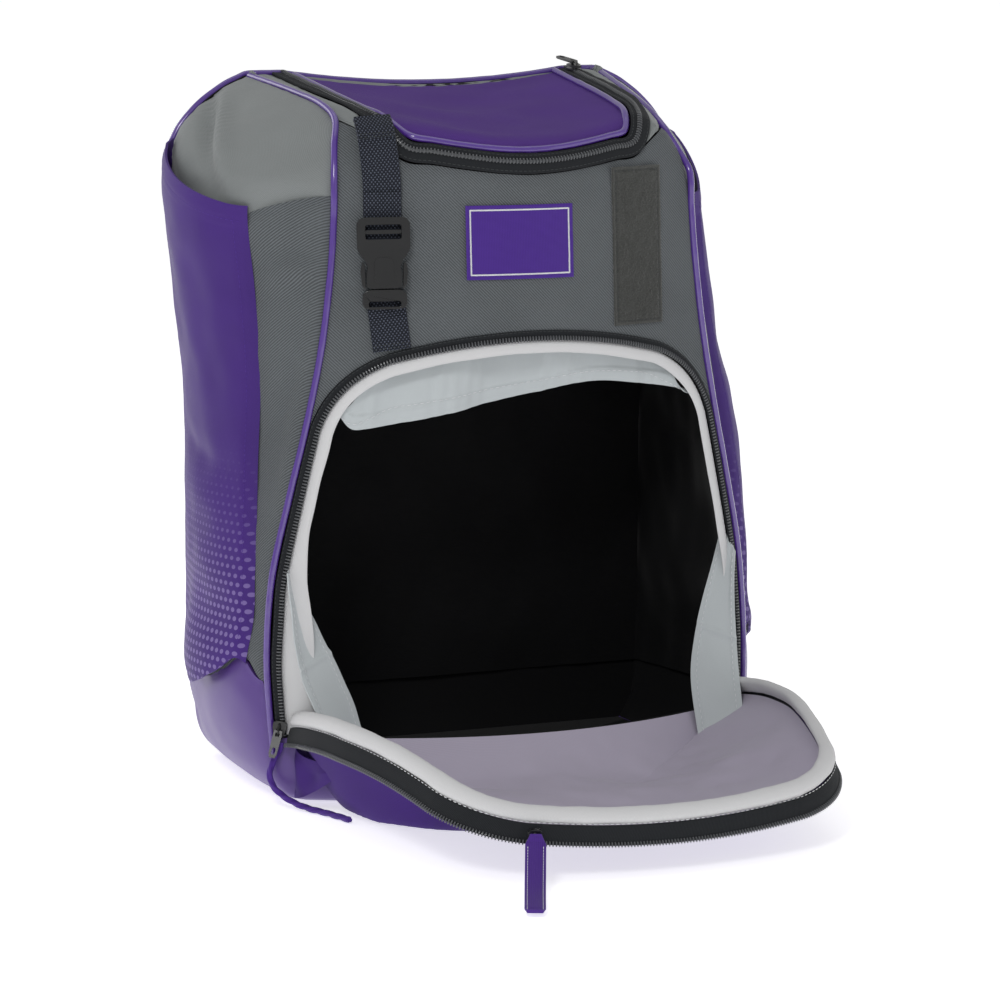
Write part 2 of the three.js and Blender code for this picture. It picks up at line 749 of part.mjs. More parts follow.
// The back seam runs up one back corner of the body, over the top and down the other.
const corner = frontSteps + sideSteps;
const backSeam = (() => {
  const right = outerRings.slice(backSeamRing, -2).map((ring) => ring[corner]);
  const left = outerRings.slice(backSeamRing, -2).map((ring) => ring[plan.length - corner]);
  const top = outerRings[outerRings.length - 3];
  const across = [];
  for (let i = corner + 1; i < plan.length - corner; i++) across.push(top[i]);
  const points = [...right, ...across, ...left.reverse()];
  const places = points.map((at) => {
    const out = new THREE.Vector3(at.x / bodyHalfWidth, 1, at.z > shoulderTop ? 1 : 0).normalize();
    return { at, out };
  });
  return softened(places, 2);
})();
const backPoints = backSeam.map(({ at }) => at);

const seams = [-1, 1].map((hand) => solid(band(seamPlaces(hand), grooveOutline)));
const backGroove = solid(band(backSeam, grooveOutline));
const grooves = seams[0].add(seams[1]).add(backGroove).add(zipCutter);
const cloth = shell.subtract(grooves);

function largest(body) {
  return body.decompose().sort((a, b) => b.volume() - a.volume())[0];
}
const piece = (name, body, colour) => add(name, geometryOf(largest(body)), colour);

piece("base_boot", cloth.intersect(bootBlock).subtract(archBlock), "boot");
const upper = cloth.subtract(bootBlockWide);
piece("back_panel", upper.intersect(backBlock), "black");
const wrap = upper.subtract(backBlockWide);
piece("lid", wrap.intersect(lidBlock).subtract(hingeSlot), "purple");
const opened = wrap.subtract(lidBlock).subtract(hingeSlot);
piece("top_yoke", opened.intersect(yokeBlock(0)), "grey");
const walls = opened.subtract(yokeBlock(seamGap));
piece("front_panel", walls.intersect(frontBlock(0)).subtract(archBlock), "twill");
for (const [name, hand] of [["side_panel_left", -1], ["side_panel_right", 1]])
  piece(name, walls.subtract(frontBlock(seamGap)).intersect(half(hand)), "twill");

// Trims of the body
const pipe = (points, steps = pipingSteps) => tube(points, pipingRadius, pipingSides, steps);
add("lid_piping", pipe(lidEdge), "piping");
add("lid_zipper", band(zipRun, flat(-zipHalf, zipHalf, -0.4, zipThick)), "black");
add("seam_piping_left", pipe(seamPoints(-1)), "piping");
add("seam_piping_right", pipe(seamPoints(1)), "piping");
add("back_piping", pipe(backPoints, 40), "piping");
const teethRun = archPath(0).map(({ x, y }) => frontPlace(x, y));
add("opening_zipper", band(teethRun, flat(-zipWidth + 1, 1, -1, zipThick - 1)), "black");
add("opening_binding", band(teethRun, flat(1.4, 1.4 + bindingWidth, -1 - bindingThick, -1)), "binding");

// Lining of the front compartment, open to the front and hidden above
const lining = solid(inset(outerGeometry, panelWall + 2 * seamGap))
  .subtract(solid(inset(outerGeometry, panelWall + 2 * seamGap + liningWall)))
  .subtract(solid(block(archPath(-1 - bindingWidth).map(({ x, y }) => [x, y]), "y", -far, splitDepth)))
  .subtract(solid(block([[-far, liningTop], [far, liningTop], [far, far], [-far, far]], "x", -far, far)));
piece("compartment_lining", lining, "black");

function bootTop(y) {
  const i = Math.max(1, bootRim.findIndex(({ back }) => back > y));
  const [a, b] = [bootRim[i - 1], bootRim[i]];
  return a.up + ((b.up - a.up) * (y - a.back)) / (b.back - a.back);
}

// Sleeves: a wall that stands off the side, sewn to it all round and open at the mouth
const grown = solid(inset(outerGeometry, -liftOff));
function sleeve(hand) {
  const bulge = hand > 0 ? "right" : "left";
  const ring = (level, trim, lift) => {
    const reach = bodyHeight * (sleeveFoot + (sleeveMouth - sleeveFoot) * level);
    const front = topReach * read(sleeveForm, "level", "edge", level);
    const back = backY(reach) - sleeveBackEdge;
    const row = (outer) =>
      Array.from({ length: sleeveSteps + 1 }, (_, i) => {
        const share = trim + ((1 - 2 * trim) * i) / sleeveSteps;
        const swell = Math.sin((Math.PI * i) / sleeveSteps) ** sleeveRound;
        const y = front + (back - front) * share;
        const foot = bootTop(y) + 2 * seamGap;
        const brim = bodyHeight * (sleeveMouth + sleeveMouthRise * (share - 1));
        const mouth = outer ? brim - mouthDip * swell : brim;
        const z = foot + (mouth - foot) * level;
        const { at } = seatSide(hand, y, Math.min(z, bodyHeight * sleeveMouth));
        const off = 2 * sleeveWall + sleeveBulge * read(sleeveForm, "level", bulge, level) * swell;
        const wall = trim ? sleeveWall : 0;
        const reachOut = outer ? sleeveLift + off - wall : -sleeveSink;
        return new THREE.Vector3(at.x + hand * reachOut, y, z + lift);
      });
    return [...row(false), ...row(true).reverse()];
  };
  const outside = sleeveLevels.map((level) => ring(level, 0, 0));
  const inside = [sleeveFloor, ...sleeveLevels.slice(1)].map((level) => ring(level, sleeveSeam, 0));
  inside.push(ring(1, sleeveSeam, mouthDip));
  return solid(loft(outside)).subtract(solid(loft(inside))).subtract(grown);
}
piece("bat_sleeve_left", sleeve(-1), "purple");
piece("bat_sleeve_right", sleeve(1), "purple");

// Door: let down in front, its rim turned up and its outer pouch resting on the floor
const tilt = (doorTilt * Math.PI) / 180;
const doorHeight = (reach) =>
  doorRootHeight + Math.sin(tilt) * reach - doorDroop * (reach / doorReach) ** 2;
const rimRun = archPath(0).map(({ x, y }) => {
  const reach = doorStart + ((y - hingeHeight) * (doorReach - doorStart)) / (archCrown - hingeHeight);
  const at = new THREE.Vector3(x, -doorRootBack - Math.cos(tilt) * reach, doorHeight(reach));
  return { at, out: new THREE.Vector3(0, 0, 1) };
});
const rimOutline = (corners) => corners.map(({ out, up }) => [out * rimLean, up * rimHeight]);
add("door_zipper", band(rimRun, rimOutline(rimTape)), "black");
add("door_binding", band(rimRun, rimOutline(rimRoll)), "binding");

// The edge of a door sheet: along the rim, then back along the hinge.
function doorEdge(inward, up, hingeUp) {
  const rim = rimRun.map(({ at }, i) => {
    const before = rimRun[Math.max(i - 1, 0)].at;
    const after = rimRun[Math.min(i + 1, rimRun.length - 1)].at;
    const across = after.clone().sub(before).setZ(0).normalize().cross(new THREE.Vector3(0, 0, 1));
    return at.clone().addScaledVector(across, -inward).add(new THREE.Vector3(0, 0, up));
  });
  const reach = Math.abs(rim[0].x);
  const hinge = [];
  for (let i = 0; i <= hingeSteps; i++) {
    const x = reach * (1 - (2 * i) / hingeSteps);
    hinge.push(new THREE.Vector3(x, frontY(x, hingeUp) - 2.2 * seamGap - panelWall / 4, hingeUp));
  }
  return [...rim, ...hinge];
}

function doorSheet(edge, thick, height) {
  const middle = new THREE.Vector3(0, -doorMiddle, 0);
  const side = (lift) =>
    sheetRings.map((share) =>
      edge.map((point) => {
        const p = middle.clone().lerp(point, share);
        return p.setZ(height(p, point.z, share) + lift);
      }),
    );
  return loft([...side(0).reverse(), ...side(thick)]);
}
const panelRoot = hingeHeight - 2.5 * sheetWall;
const panelEdge = doorEdge(panelSeat.out * rimLean, panelSeat.up * rimHeight, panelRoot);
const belly = (p) => Math.hypot(p.x / pouchHalf, (p.y + pouchMiddle) / pouchReach);
const settle = (value) => THREE.MathUtils.smoothstep(value, ...pouchEdge);
add(
  "door_panel",
  doorSheet(panelEdge, sheetWall, (p, edgeZ, share) => {
    const free = pouchFree + (edgeZ - pouchFree) * share ** 3;
    return pouchRest + (free - pouchRest) * Math.max(settle(belly(p)), share ** edgeHold);
  }),
  "purple",
);
const liningEdge = doorEdge(liningSeat.out * rimLean, liningSeat.up * rimHeight, hingeHeight - liningWall);
add(
  "door_lining",
  doorSheet(liningEdge, liningWall, (p, edgeZ, share) => trayHeight + (edgeZ - trayHeight) * share ** 3),
  "lavender",
);

// Stays between the opening's sides and the door
for (const [name, hand] of [["door_stay_left", -1], ["door_stay_right", 1]]) {
  const run = stayRun.map(({ x, y, z }) => ({
    at: new THREE.Vector3(hand * x * bodyHalfWidth, -y * frontReach, z * bodyHeight),
    out: new THREE.Vector3(-hand, 0, 0.35).normalize(),
  }));
  add(name, band(run, flat(-stayWidth / 2, stayWidth / 2, 0, liningWall)), "satin");
}

// Inner pocket: hangs behind the arch
const pocketRun = pocketSpots.map(({ x, depth }) => {
  return frontPlace(x * bodyHalfWidth, pocketMiddle, depth * pocketSag);
});
add("inner_pocket", band(pocketRun, flat(-pocketHeight / 2, pocketHeight / 2, -liningWall, 0)), "satin");

// Front webbing and its buckle
const raised = (run, lifts) =>
  run.map(({ at, out }, i) => ({ at: at.clone().addScaledVector(out, lifts[i] * webbingLift), out }));
const upperPlaces = upperSpots.map(({ z, lift }) => {
  const place = lift > 0.5 ? seatFront : frontPlace;
  return place(webbingX, z * bodyHeight);
});
const upperRun = raised(
  softened([seatTop(webbingX, webbingRoot * topReach), ...upperPlaces], 2),
  [1, ...upperSpots.map(({ lift }) => lift)],
);
const strip = (width, thick, lift = seamGap) => flat(-width / 2, width / 2, lift, lift + thick);
add("webbing_upper", band(upperRun, strip(webbingWidth, webbingThick)), "webbing");
const lowerRun = lowerSpots.map(({ x, z }) => frontPlace(webbingX + x * webbingWidth, z * bodyHeight));
add("webbing_lower", band(softened(lowerRun, 1), strip(webbingWidth, webbingThick)), "webbing");

// Lays a flat shape on the front face: its own X runs across, Y up and Z out.
function laid(shape, thick, x, z, lift) {
  const geometry = new THREE.ExtrudeGeometry(shape, { depth: thick, bevelEnabled: false });
  const { at, out } = frontPlace(x, z);
  const acrossward = new THREE.Vector3(1, 0, 0).addScaledVector(out, -out.x).normalize();
  const up = out.clone().cross(acrossward);
  const turn = new THREE.Matrix4().makeBasis(acrossward, up, out);
  return geometry.applyMatrix4(turn.setPosition(at.addScaledVector(out, lift)));
}
const outlineShape = (corners, hole) => {
  const shape = new THREE.Shape(corners.map(([x, y]) => new THREE.Vector2(x, y)));
  if (hole) shape.holes.push(new THREE.Path(hole.map(([x, y]) => new THREE.Vector2(x, y))));
  return shape;
};
const mirroredX = (side) => [...side, ...[...side].reverse().map(([x, y]) => [-x, y])];
const scaled = (corners) => corners.map(({ across, up }) => [across * buckleWidth, up * buckleLength]);
const buckleLift = webbingThick + 2 * seamGap;
const socketShape = outlineShape(mirroredX(scaled(socketSide)), mirroredX(scaled(buckleSlot)));
const clipShape = outlineShape(mirroredX(scaled(clipSide)));
add("buckle_socket", laid(socketShape, buckleThick, webbingX, buckleMiddle, buckleLift), "plastic");
add("buckle_clip", laid(clipShape, clipThick, webbingX, buckleMiddle, buckleLift), "plastic");

// Loop strip and patch
const acrossFront = (x, z, width) =>
  [-0.5, -0.17, 0.17, 0.5].map((share) => frontPlace(x + share * width, z));
add("loop_strip", band(acrossFront(loopX, loopMiddle, loopWidth), strip(loopLength, loopThick)), "fuzz");
add("patch", band(acrossFront(patchX, patchZ, patchWidth), strip(patchHeight, patchThick)), "purple");

// Zip sliders, their pulls and the cord at the corner
function slider(at, along, out) {
  const sideOutline = sliderSide.map(({ across, up }) => [across * sliderWidth, up * sliderLength]);
  const shape = outlineShape(mirroredX(sideOutline));
  const geometry = new THREE.ExtrudeGeometry(shape, { depth: sliderThick, bevelEnabled: false });
  const side = along.clone().cross(out).normalize();
  const up = out.clone().cross(side).normalize();
  return geometry.applyMatrix4(new THREE.Matrix4().makeBasis(side, up, out).setPosition(at));
}
const rimAt = (x) => {
  const i = rimRun.findIndex(({ at }) => at.x > x);
  const [a, b] = [rimRun[i - 1].at, rimRun[i].at];
  return a.clone().lerp(b, (x - a.x) / (b.x - a.x));
};
const rimSlider = rimAt(rimSliderX);
const toward = new THREE.Vector3(-0.41, -0.91, 0);
const sliderUp = new THREE.Vector3(0, 0.32, 0.95);
const sliderSeat = new THREE.Vector3(0, 0, 0.2 * rimHeight);
const sliderAt = rimSlider.clone().addScaledVector(toward, 0.22 * rimLean).add(sliderSeat);
add("door_slider", slider(sliderAt, sliderUp, toward), "plastic");
const tagStart = sliderAt.clone().addScaledVector(toward, sliderThick + seamGap);
const tagDrop = tagStart.z - tagThick - seamGap;
const tagRun = tagSpots.map(({ along, fall }) => {
  const at = tagStart.clone().addScaledVector(toward, along * tagLength);
  at.z -= fall * tagDrop;
  return { at, out: new THREE.Vector3(-0.1, -0.2, 1).normalize() };
});
add("pull_tag", band(tagRun, flat(-tagWidth / 2, tagWidth / 2, 0, tagThick)), "purple");

const cornerFoot = frontPlace(-(halfAt(hingeHeight, "front") - archMargin), hingeHeight + zipWidth / 2);
const cornerAt = cornerFoot.at.clone().addScaledVector(cornerFoot.out, zipThick);
add("corner_slider", slider(cornerAt, new THREE.Vector3(0.1, 0, 1), cornerFoot.out), "plastic");
const cordPoints = cordRoute.map(([x, y, z]) => new THREE.Vector3(x, y, z));
add("corner_cord", tube(cordPoints, cordRadius, 8, 14), "purple");
const lidEnd = zipRun[zipRun.length - 2];
const lidSliderAt = lidEnd.at.clone().addScaledVector(lidEnd.out, zipThick + seamGap);
add("lid_slider", slider(lidSliderAt, new THREE.Vector3(0, 1, 0), lidEnd.out), "plastic");

// Carrying straps and handle on the back
const padOutline = mirroredX(padSide.map(({ across, up }) => [across * strapWidth, up * strapThick]));
const backPlace = (hand, stand, { x, off, z }) => ({
  at: new THREE.Vector3(hand * x * bodyHalfWidth, backY(z * bodyHeight) + off * stand, z * bodyHeight),
  out: new THREE.Vector3(0, 1, 0),
});
for (const [side, hand] of [["left", -1], ["right", 1]]) {
  const strapRun = strapSpots.map((spot) => backPlace(hand, strapStand, spot));
  add("shoulder_strap_" + side, band(strapRun, padOutline), "black");
  const tail = tailSpots.map((spot) => backPlace(hand, strapStand, spot));
  add("strap_webbing_" + side, band(tail, strip(webbingWidth, webbingThick, 0)), "webbing");
}
const handleRun = handleSpots.map((spot) => backPlace(1, handleStand, spot));
add("grab_handle", band(handleRun, strip(webbingWidth, 2 * webbingThick, 0)), "webbing");

export default bag;
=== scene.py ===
"""A bat backpack for baseball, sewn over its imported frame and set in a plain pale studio."""

import functools
import logging
import math
from dataclasses import dataclass, replace
from enum import Enum
from typing import Iterable, Sequence

import bpy
import numpy as np
from mathutils import Matrix, Vector
from mathutils.bvhtree import BVHTree
from mathutils.geometry import tessellate_polygon


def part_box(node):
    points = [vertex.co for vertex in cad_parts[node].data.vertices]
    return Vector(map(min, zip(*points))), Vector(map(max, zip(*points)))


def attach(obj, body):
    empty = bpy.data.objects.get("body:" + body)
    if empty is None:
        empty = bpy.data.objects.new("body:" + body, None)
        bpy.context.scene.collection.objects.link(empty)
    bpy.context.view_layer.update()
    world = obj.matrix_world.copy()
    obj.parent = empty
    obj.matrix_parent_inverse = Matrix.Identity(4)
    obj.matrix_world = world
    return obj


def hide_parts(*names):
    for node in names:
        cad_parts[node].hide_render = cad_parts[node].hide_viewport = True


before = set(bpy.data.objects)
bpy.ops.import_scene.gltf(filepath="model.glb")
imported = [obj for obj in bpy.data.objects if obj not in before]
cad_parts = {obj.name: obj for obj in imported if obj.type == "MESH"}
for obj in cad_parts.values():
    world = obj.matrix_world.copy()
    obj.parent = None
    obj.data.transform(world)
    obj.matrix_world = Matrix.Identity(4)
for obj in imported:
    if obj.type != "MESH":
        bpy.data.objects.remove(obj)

LOG = logging.getLogger("backpack")
Array = np.ndarray
Point = tuple[float, float, float]
MM = 0.001
FULL_TURN = 2 * math.pi
BODY = "root"
HANDS = ((-1, "left"), (1, "right"))


def unit(vectors: Array) -> Array:
    """Scale vectors to a length of one."""
    return vectors / np.maximum(np.linalg.norm(vectors, axis=-1, keepdims=True), 1e-12)


def ease(value: Array | float, low: float, high: float) -> Array:
    """Rise smoothly from 0 at low to 1 at high.

    Args:
        value: What is read.
        low: Where the rise starts.
        high: Where it ends.

    Returns:
        The eased values.
    """
    t = np.clip((np.asarray(value) - low) / (high - low), 0.0, 1.0)
    return t * t * (3 - 2 * t)


def read(rows: Sequence[Sequence[float]], at: Array | float) -> Array:
    """Read a table of rising keys smoothly.

    Args:
        rows: The key of each row and then its values.
        at: The keys to read at.

    Returns:
        The values, with one more axis than the keys.
    """
    table = np.asarray(rows, float)
    keys, values = table[:, 0], table[:, 1:]
    order = np.arange(len(keys))
    low, high = np.maximum(order - 1, 0), np.minimum(order + 1, len(keys) - 1)
    slopes = (values[high] - values[low]) / (keys[high] - keys[low])[:, None]
    at = np.clip(np.asarray(at, float), keys[0], keys[-1])
    i = np.clip(np.searchsorted(keys, at, "right") - 1, 0, len(keys) - 2)
    span = (keys[i + 1] - keys[i])[..., None]
    t = (at - keys[i])[..., None] / span
    rest = 1 - t
    ends = values[i] * (1 + 2 * t) * rest**2 + values[i + 1] * t**2 * (3 - 2 * t)
    return ends + span * (slopes[i] * t * rest**2 - slopes[i + 1] * t**2 * rest)


def lengths(points: Array) -> Array:
    """Give the running length at each point of a line."""
    return np.concatenate([[0.0], np.cumsum(np.linalg.norm(np.diff(points, axis=0), axis=1))])


def sampled(at: Array, keys: Array, points: Array) -> Array:
    """Read each column of points at some keys."""
    return np.stack([np.interp(at, keys, points[:, k]) for k in range(points.shape[1])], 1)


def evenly(points: Array, count: int) -> Array:
    """Space points evenly along a line, with its ends kept."""
    run = lengths(points)
    return sampled(np.linspace(0, run[-1], count), run, points)


def curve(points: Iterable[Sequence[float]], count: int) -> Array:
    """Run a smooth curve through points.

    Args:
        points: What the curve passes through.
        count: How many evenly spaced points to give back.

    Returns:
        The curve's points.
    """
    through = np.asarray(list(points), float)
    run = lengths(through)
    fine = np.linspace(0, run[-1], 24 * len(through))
    return evenly(read(np.column_stack([run, through]), fine), count)


def ripple(points: Array, length: float, seed: int) -> Array:
    """Give a soft, seeded unevenness between about -1 and 1.

    Args:
        points: Where it is read.
        length: The usual distance between its crests.
        seed: Which unevenness it is.

    Returns:
        One value for each point.
    """
    rng = np.random.default_rng(seed)
    waves = 14
    way = unit(rng.normal(size=(waves, 3))) * FULL_TURN / (length * rng.uniform(0.7, 1.6, (waves, 1)))
    phase = points @ way.T + rng.uniform(0, FULL_TURN, waves)
    return np.cos(phase).sum(axis=-1) / math.sqrt(2 * waves)


class Side(Enum):
    """The borders of a cloth grid."""

    FIRST_ROW = "first row"
    LAST_ROW = "last row"
    FIRST_COLUMN = "first column"
    LAST_COLUMN = "last column"


ALL_SIDES = tuple(Side)


@dataclass(frozen=True)
class Fold:
    """A crease or hollow in cloth along a line in space, in millimetres."""

    path: tuple[Point, ...]
    width: float
    height: float

    def rise(self, points: Array) -> Array:
        """Give the fold's height at each point.

        Args:
            points: The cloth's points in metres.

        Returns:
            The height in metres.
        """
        line = curve(np.asarray(self.path) * MM, 24)
        best = np.full(points.shape[:-1], 1e9)
        along = np.zeros(points.shape[:-1])
        for k, place in enumerate(line):
            gap = np.linalg.norm(points - place, axis=-1)
            along = np.where(gap < best, k / (len(line) - 1), along)
            best = np.minimum(best, gap)
        taper = np.sin(np.pi * np.clip(along, 0.04, 0.96)) ** 0.7
        return self.height * MM * taper * np.exp(-((best / (self.width * MM)) ** 2))


@dataclass(frozen=True)
class Drape:
    """How a panel hangs between its seams, in millimetres."""

    wave: float = 0.7
    length: float = 60.0
    tuck: float = 1.2
    edge: float = 5.0
    pucker: float = 0.25
    seed: int = 1
    folds: tuple[Fold, ...] = ()
    sides: tuple[Side, ...] = ALL_SIDES

    def height(self, cloth: "Cloth") -> Array:
        """Give how far the panel stands off its plain form.

        Args:
            cloth: The panel's grid.

        Returns:
            The height of each point in metres.
        """
        gap = cloth.border(self.sides)
        near = np.exp(-gap / (2.2 * self.edge * MM))
        free = 1 - np.exp(-((gap / (3 * self.edge * MM)) ** 2))
        height = self.wave * free * ripple(cloth.points, self.length * MM, self.seed)
        height += 0.3 * self.wave * free * ripple(cloth.points, 0.35 * self.length * MM, self.seed + 7)
        height += self.pucker * near * ripple(cloth.points, 9 * MM, self.seed + 3)
        height -= self.tuck * np.exp(-((gap / (self.edge * MM)) ** 2))
        return height * MM + sum((fold.rise(cloth.points) for fold in self.folds), np.zeros(gap.shape))


class Solid:
    """The points, faces and cloth coordinates of a piece while it is made."""

    def __init__(self) -> None:
        """Start empty."""
        self.points: list[Array] = []
        self.faces: list[Array] = []
        self.cloth: list[Array] = []
        self.count = 0

    def add(self, points: Array, faces: Array, cloth: Array | None = None) -> "Solid":
        """Add a closed body.

        Args:
            points: Its points.
            faces: Its faces of three or four corners, as indices into the points.
            cloth: Its cloth coordinates in metres, or None for its own places.

        Returns:
            This solid.
        """
        flat = points.reshape(-1, 3)
        self.points.append(flat)
        self.faces.append(np.asarray(faces) + self.count)
        self.cloth.append(flat if cloth is None else cloth.reshape(-1, 3))
        self.count += len(flat)
        return self

    def join(self, other: "Solid") -> "Solid":
        """Take in another solid's bodies.

        Args:
            other: The solid to take in.

        Returns:
            This solid.
        """
        self.points += other.points
        self.faces += [faces + self.count for faces in other.faces]
        self.cloth += other.cloth
        self.count += other.count
        return self

    def placed(self, base: Array, side: Array, up: Array, out: Array) -> "Solid":
        """Lay the bodies at a place, with their axes along three ways."""
        self.points = [base + p[:, :1] * side + p[:, 1:2] * up + p[:, 2:] * out for p in self.points]
        return self

    def mesh(self, name: str, sharp: float) -> bpy.types.Mesh:
        """Make the mesh.

        Args:
            name: The mesh's name.
            sharp: The angle in degrees from which an edge is crisp.

        Returns:
            The mesh, with its faces pointing out.
        """
        mesh = bpy.data.meshes.new(name)
        faces = [face for group in self.faces for face in group.tolist()]
        mesh.from_pydata(np.concatenate(self.points).tolist(), [], faces)
        attribute = mesh.attributes.new("cloth", "FLOAT_VECTOR", "POINT")
        attribute.data.foreach_set("vector", np.concatenate(self.cloth).astype(np.float32).ravel())
        mesh.shade_smooth()
        mesh.set_sharp_from_angle(angle=math.radians(sharp))
        return mesh


def quads(rows: int, columns: int, loop: bool = False) -> Array:
    """Give the faces of a grid of points.

    Args:
        rows: How many rows it has.
        columns: How many columns it has.
        loop: Whether its last column joins its first.

    Returns:
        The faces as indices.
    """
    row = np.arange(rows - 1)[:, None] * columns
    column = np.arange(columns if loop else columns - 1)[None, :]
    after = (column + 1) % columns
    faces = np.stack([row + column, row + after, row + columns + after, row + columns + column], -1)
    return faces.reshape(-1, 4)


def outward(points: Array, faces: Array) -> Array:
    """Turn a closed body's faces to point out.

    Args:
        points: The body's points.
        faces: Its faces.

    Returns:
        The faces, all turned over if the body was inside out.
    """
    flat = points.reshape(-1, 3)
    a, b, c = (flat[faces[:, k]] for k in (0, 1, 2))
    volume = np.einsum("ij,ij->", a, np.cross(b, c))
    if faces.shape[1] == 4:
        volume += np.einsum("ij,ij->", a, np.cross(c, flat[faces[:, 3]]))
    return faces if volume > 0 else faces[:, ::-1]


@dataclass
class Cloth:
    """A grid of points over the outer face of a panel."""

    points: Array
    centre: Point = (0.0, 0.01, 0.22)
    loop: bool = False

    def normals(self) -> Array:
        """Give the unit normals, pointing away from the centre."""
        grid = self.points
        if self.loop:
            across = np.roll(grid, -1, 1) - np.roll(grid, 1, 1)
        else:
            across = np.gradient(grid, axis=1)
        normals = unit(np.cross(across, np.gradient(grid, axis=0)))
        turn = np.sum(normals * (grid - np.asarray(self.centre)), axis=-1).mean()
        return normals * (1.0 if turn > 0 else -1.0)

    def border(self, sides: Sequence[Side]) -> Array:
        """Give the distance of each point from the nearest of some borders.

        Args:
            sides: The borders that count.

        Returns:
            The distances in metres.
        """
        steps = [np.linalg.norm(np.diff(self.points, axis=k), axis=-1) for k in (0, 1)]
        down = np.insert(np.cumsum(steps[0], axis=0), 0, 0, axis=0)
        over = np.insert(np.cumsum(steps[1], axis=1), 0, 0, axis=1)
        gaps = {
            Side.FIRST_ROW: down,
            Side.LAST_ROW: down[-1:] - down,
            Side.FIRST_COLUMN: over,
            Side.LAST_COLUMN: over[:, -1:] - over,
        }
        return functools.reduce(np.minimum, [gaps[side] for side in sides], np.full(down.shape, 9.0))

    def lifted(self, height: Array | float) -> "Cloth":
        """Move each point out along its normal."""
        height = np.broadcast_to(np.asarray(height, float), self.points.shape[:-1])
        return Cloth(self.points + self.normals() * height[..., None], self.centre, self.loop)

    def draped(self, drape: Drape) -> "Cloth":
        """Let the panel hang as a drape says."""
        return self.lifted(drape.height(self))

    def solid(self, wall: float, axes: str = "xz") -> Solid:
        """Give the panel its thickness.

        Args:
            wall: The thickness in metres, inwards.
            axes: The two axes that its weave runs along.

        Returns:
            The closed panel.
        """
        rows, columns = self.points.shape[:2]
        inner = self.points - self.normals() * wall
        both = np.concatenate([self.points.reshape(-1, 3), inner.reshape(-1, 3)])
        size = rows * columns
        face = quads(rows, columns, self.loop)
        index = np.arange(size).reshape(rows, columns)
        if self.loop:
            rims = [np.append(index[0], index[0, 0]), np.append(index[-1], index[-1, 0])[::-1]]
        else:
            ring = [index[0], index[1:, -1], index[-1, -2::-1], index[-2::-1, 0]]
            rims = [np.concatenate(ring)]
        sides = [np.stack([rim[:-1], rim[:-1] + size, rim[1:] + size, rim[1:]], 1) for rim in rims]
        faces = np.concatenate([face, face[:, ::-1] + size, *sides])
        picks = ["xyz".index(axis) for axis in axes]
        woven = np.zeros((2 * size, 3))
        woven[:, :2] = both[:, picks]
        return Solid().add(both, outward(both, faces), woven)


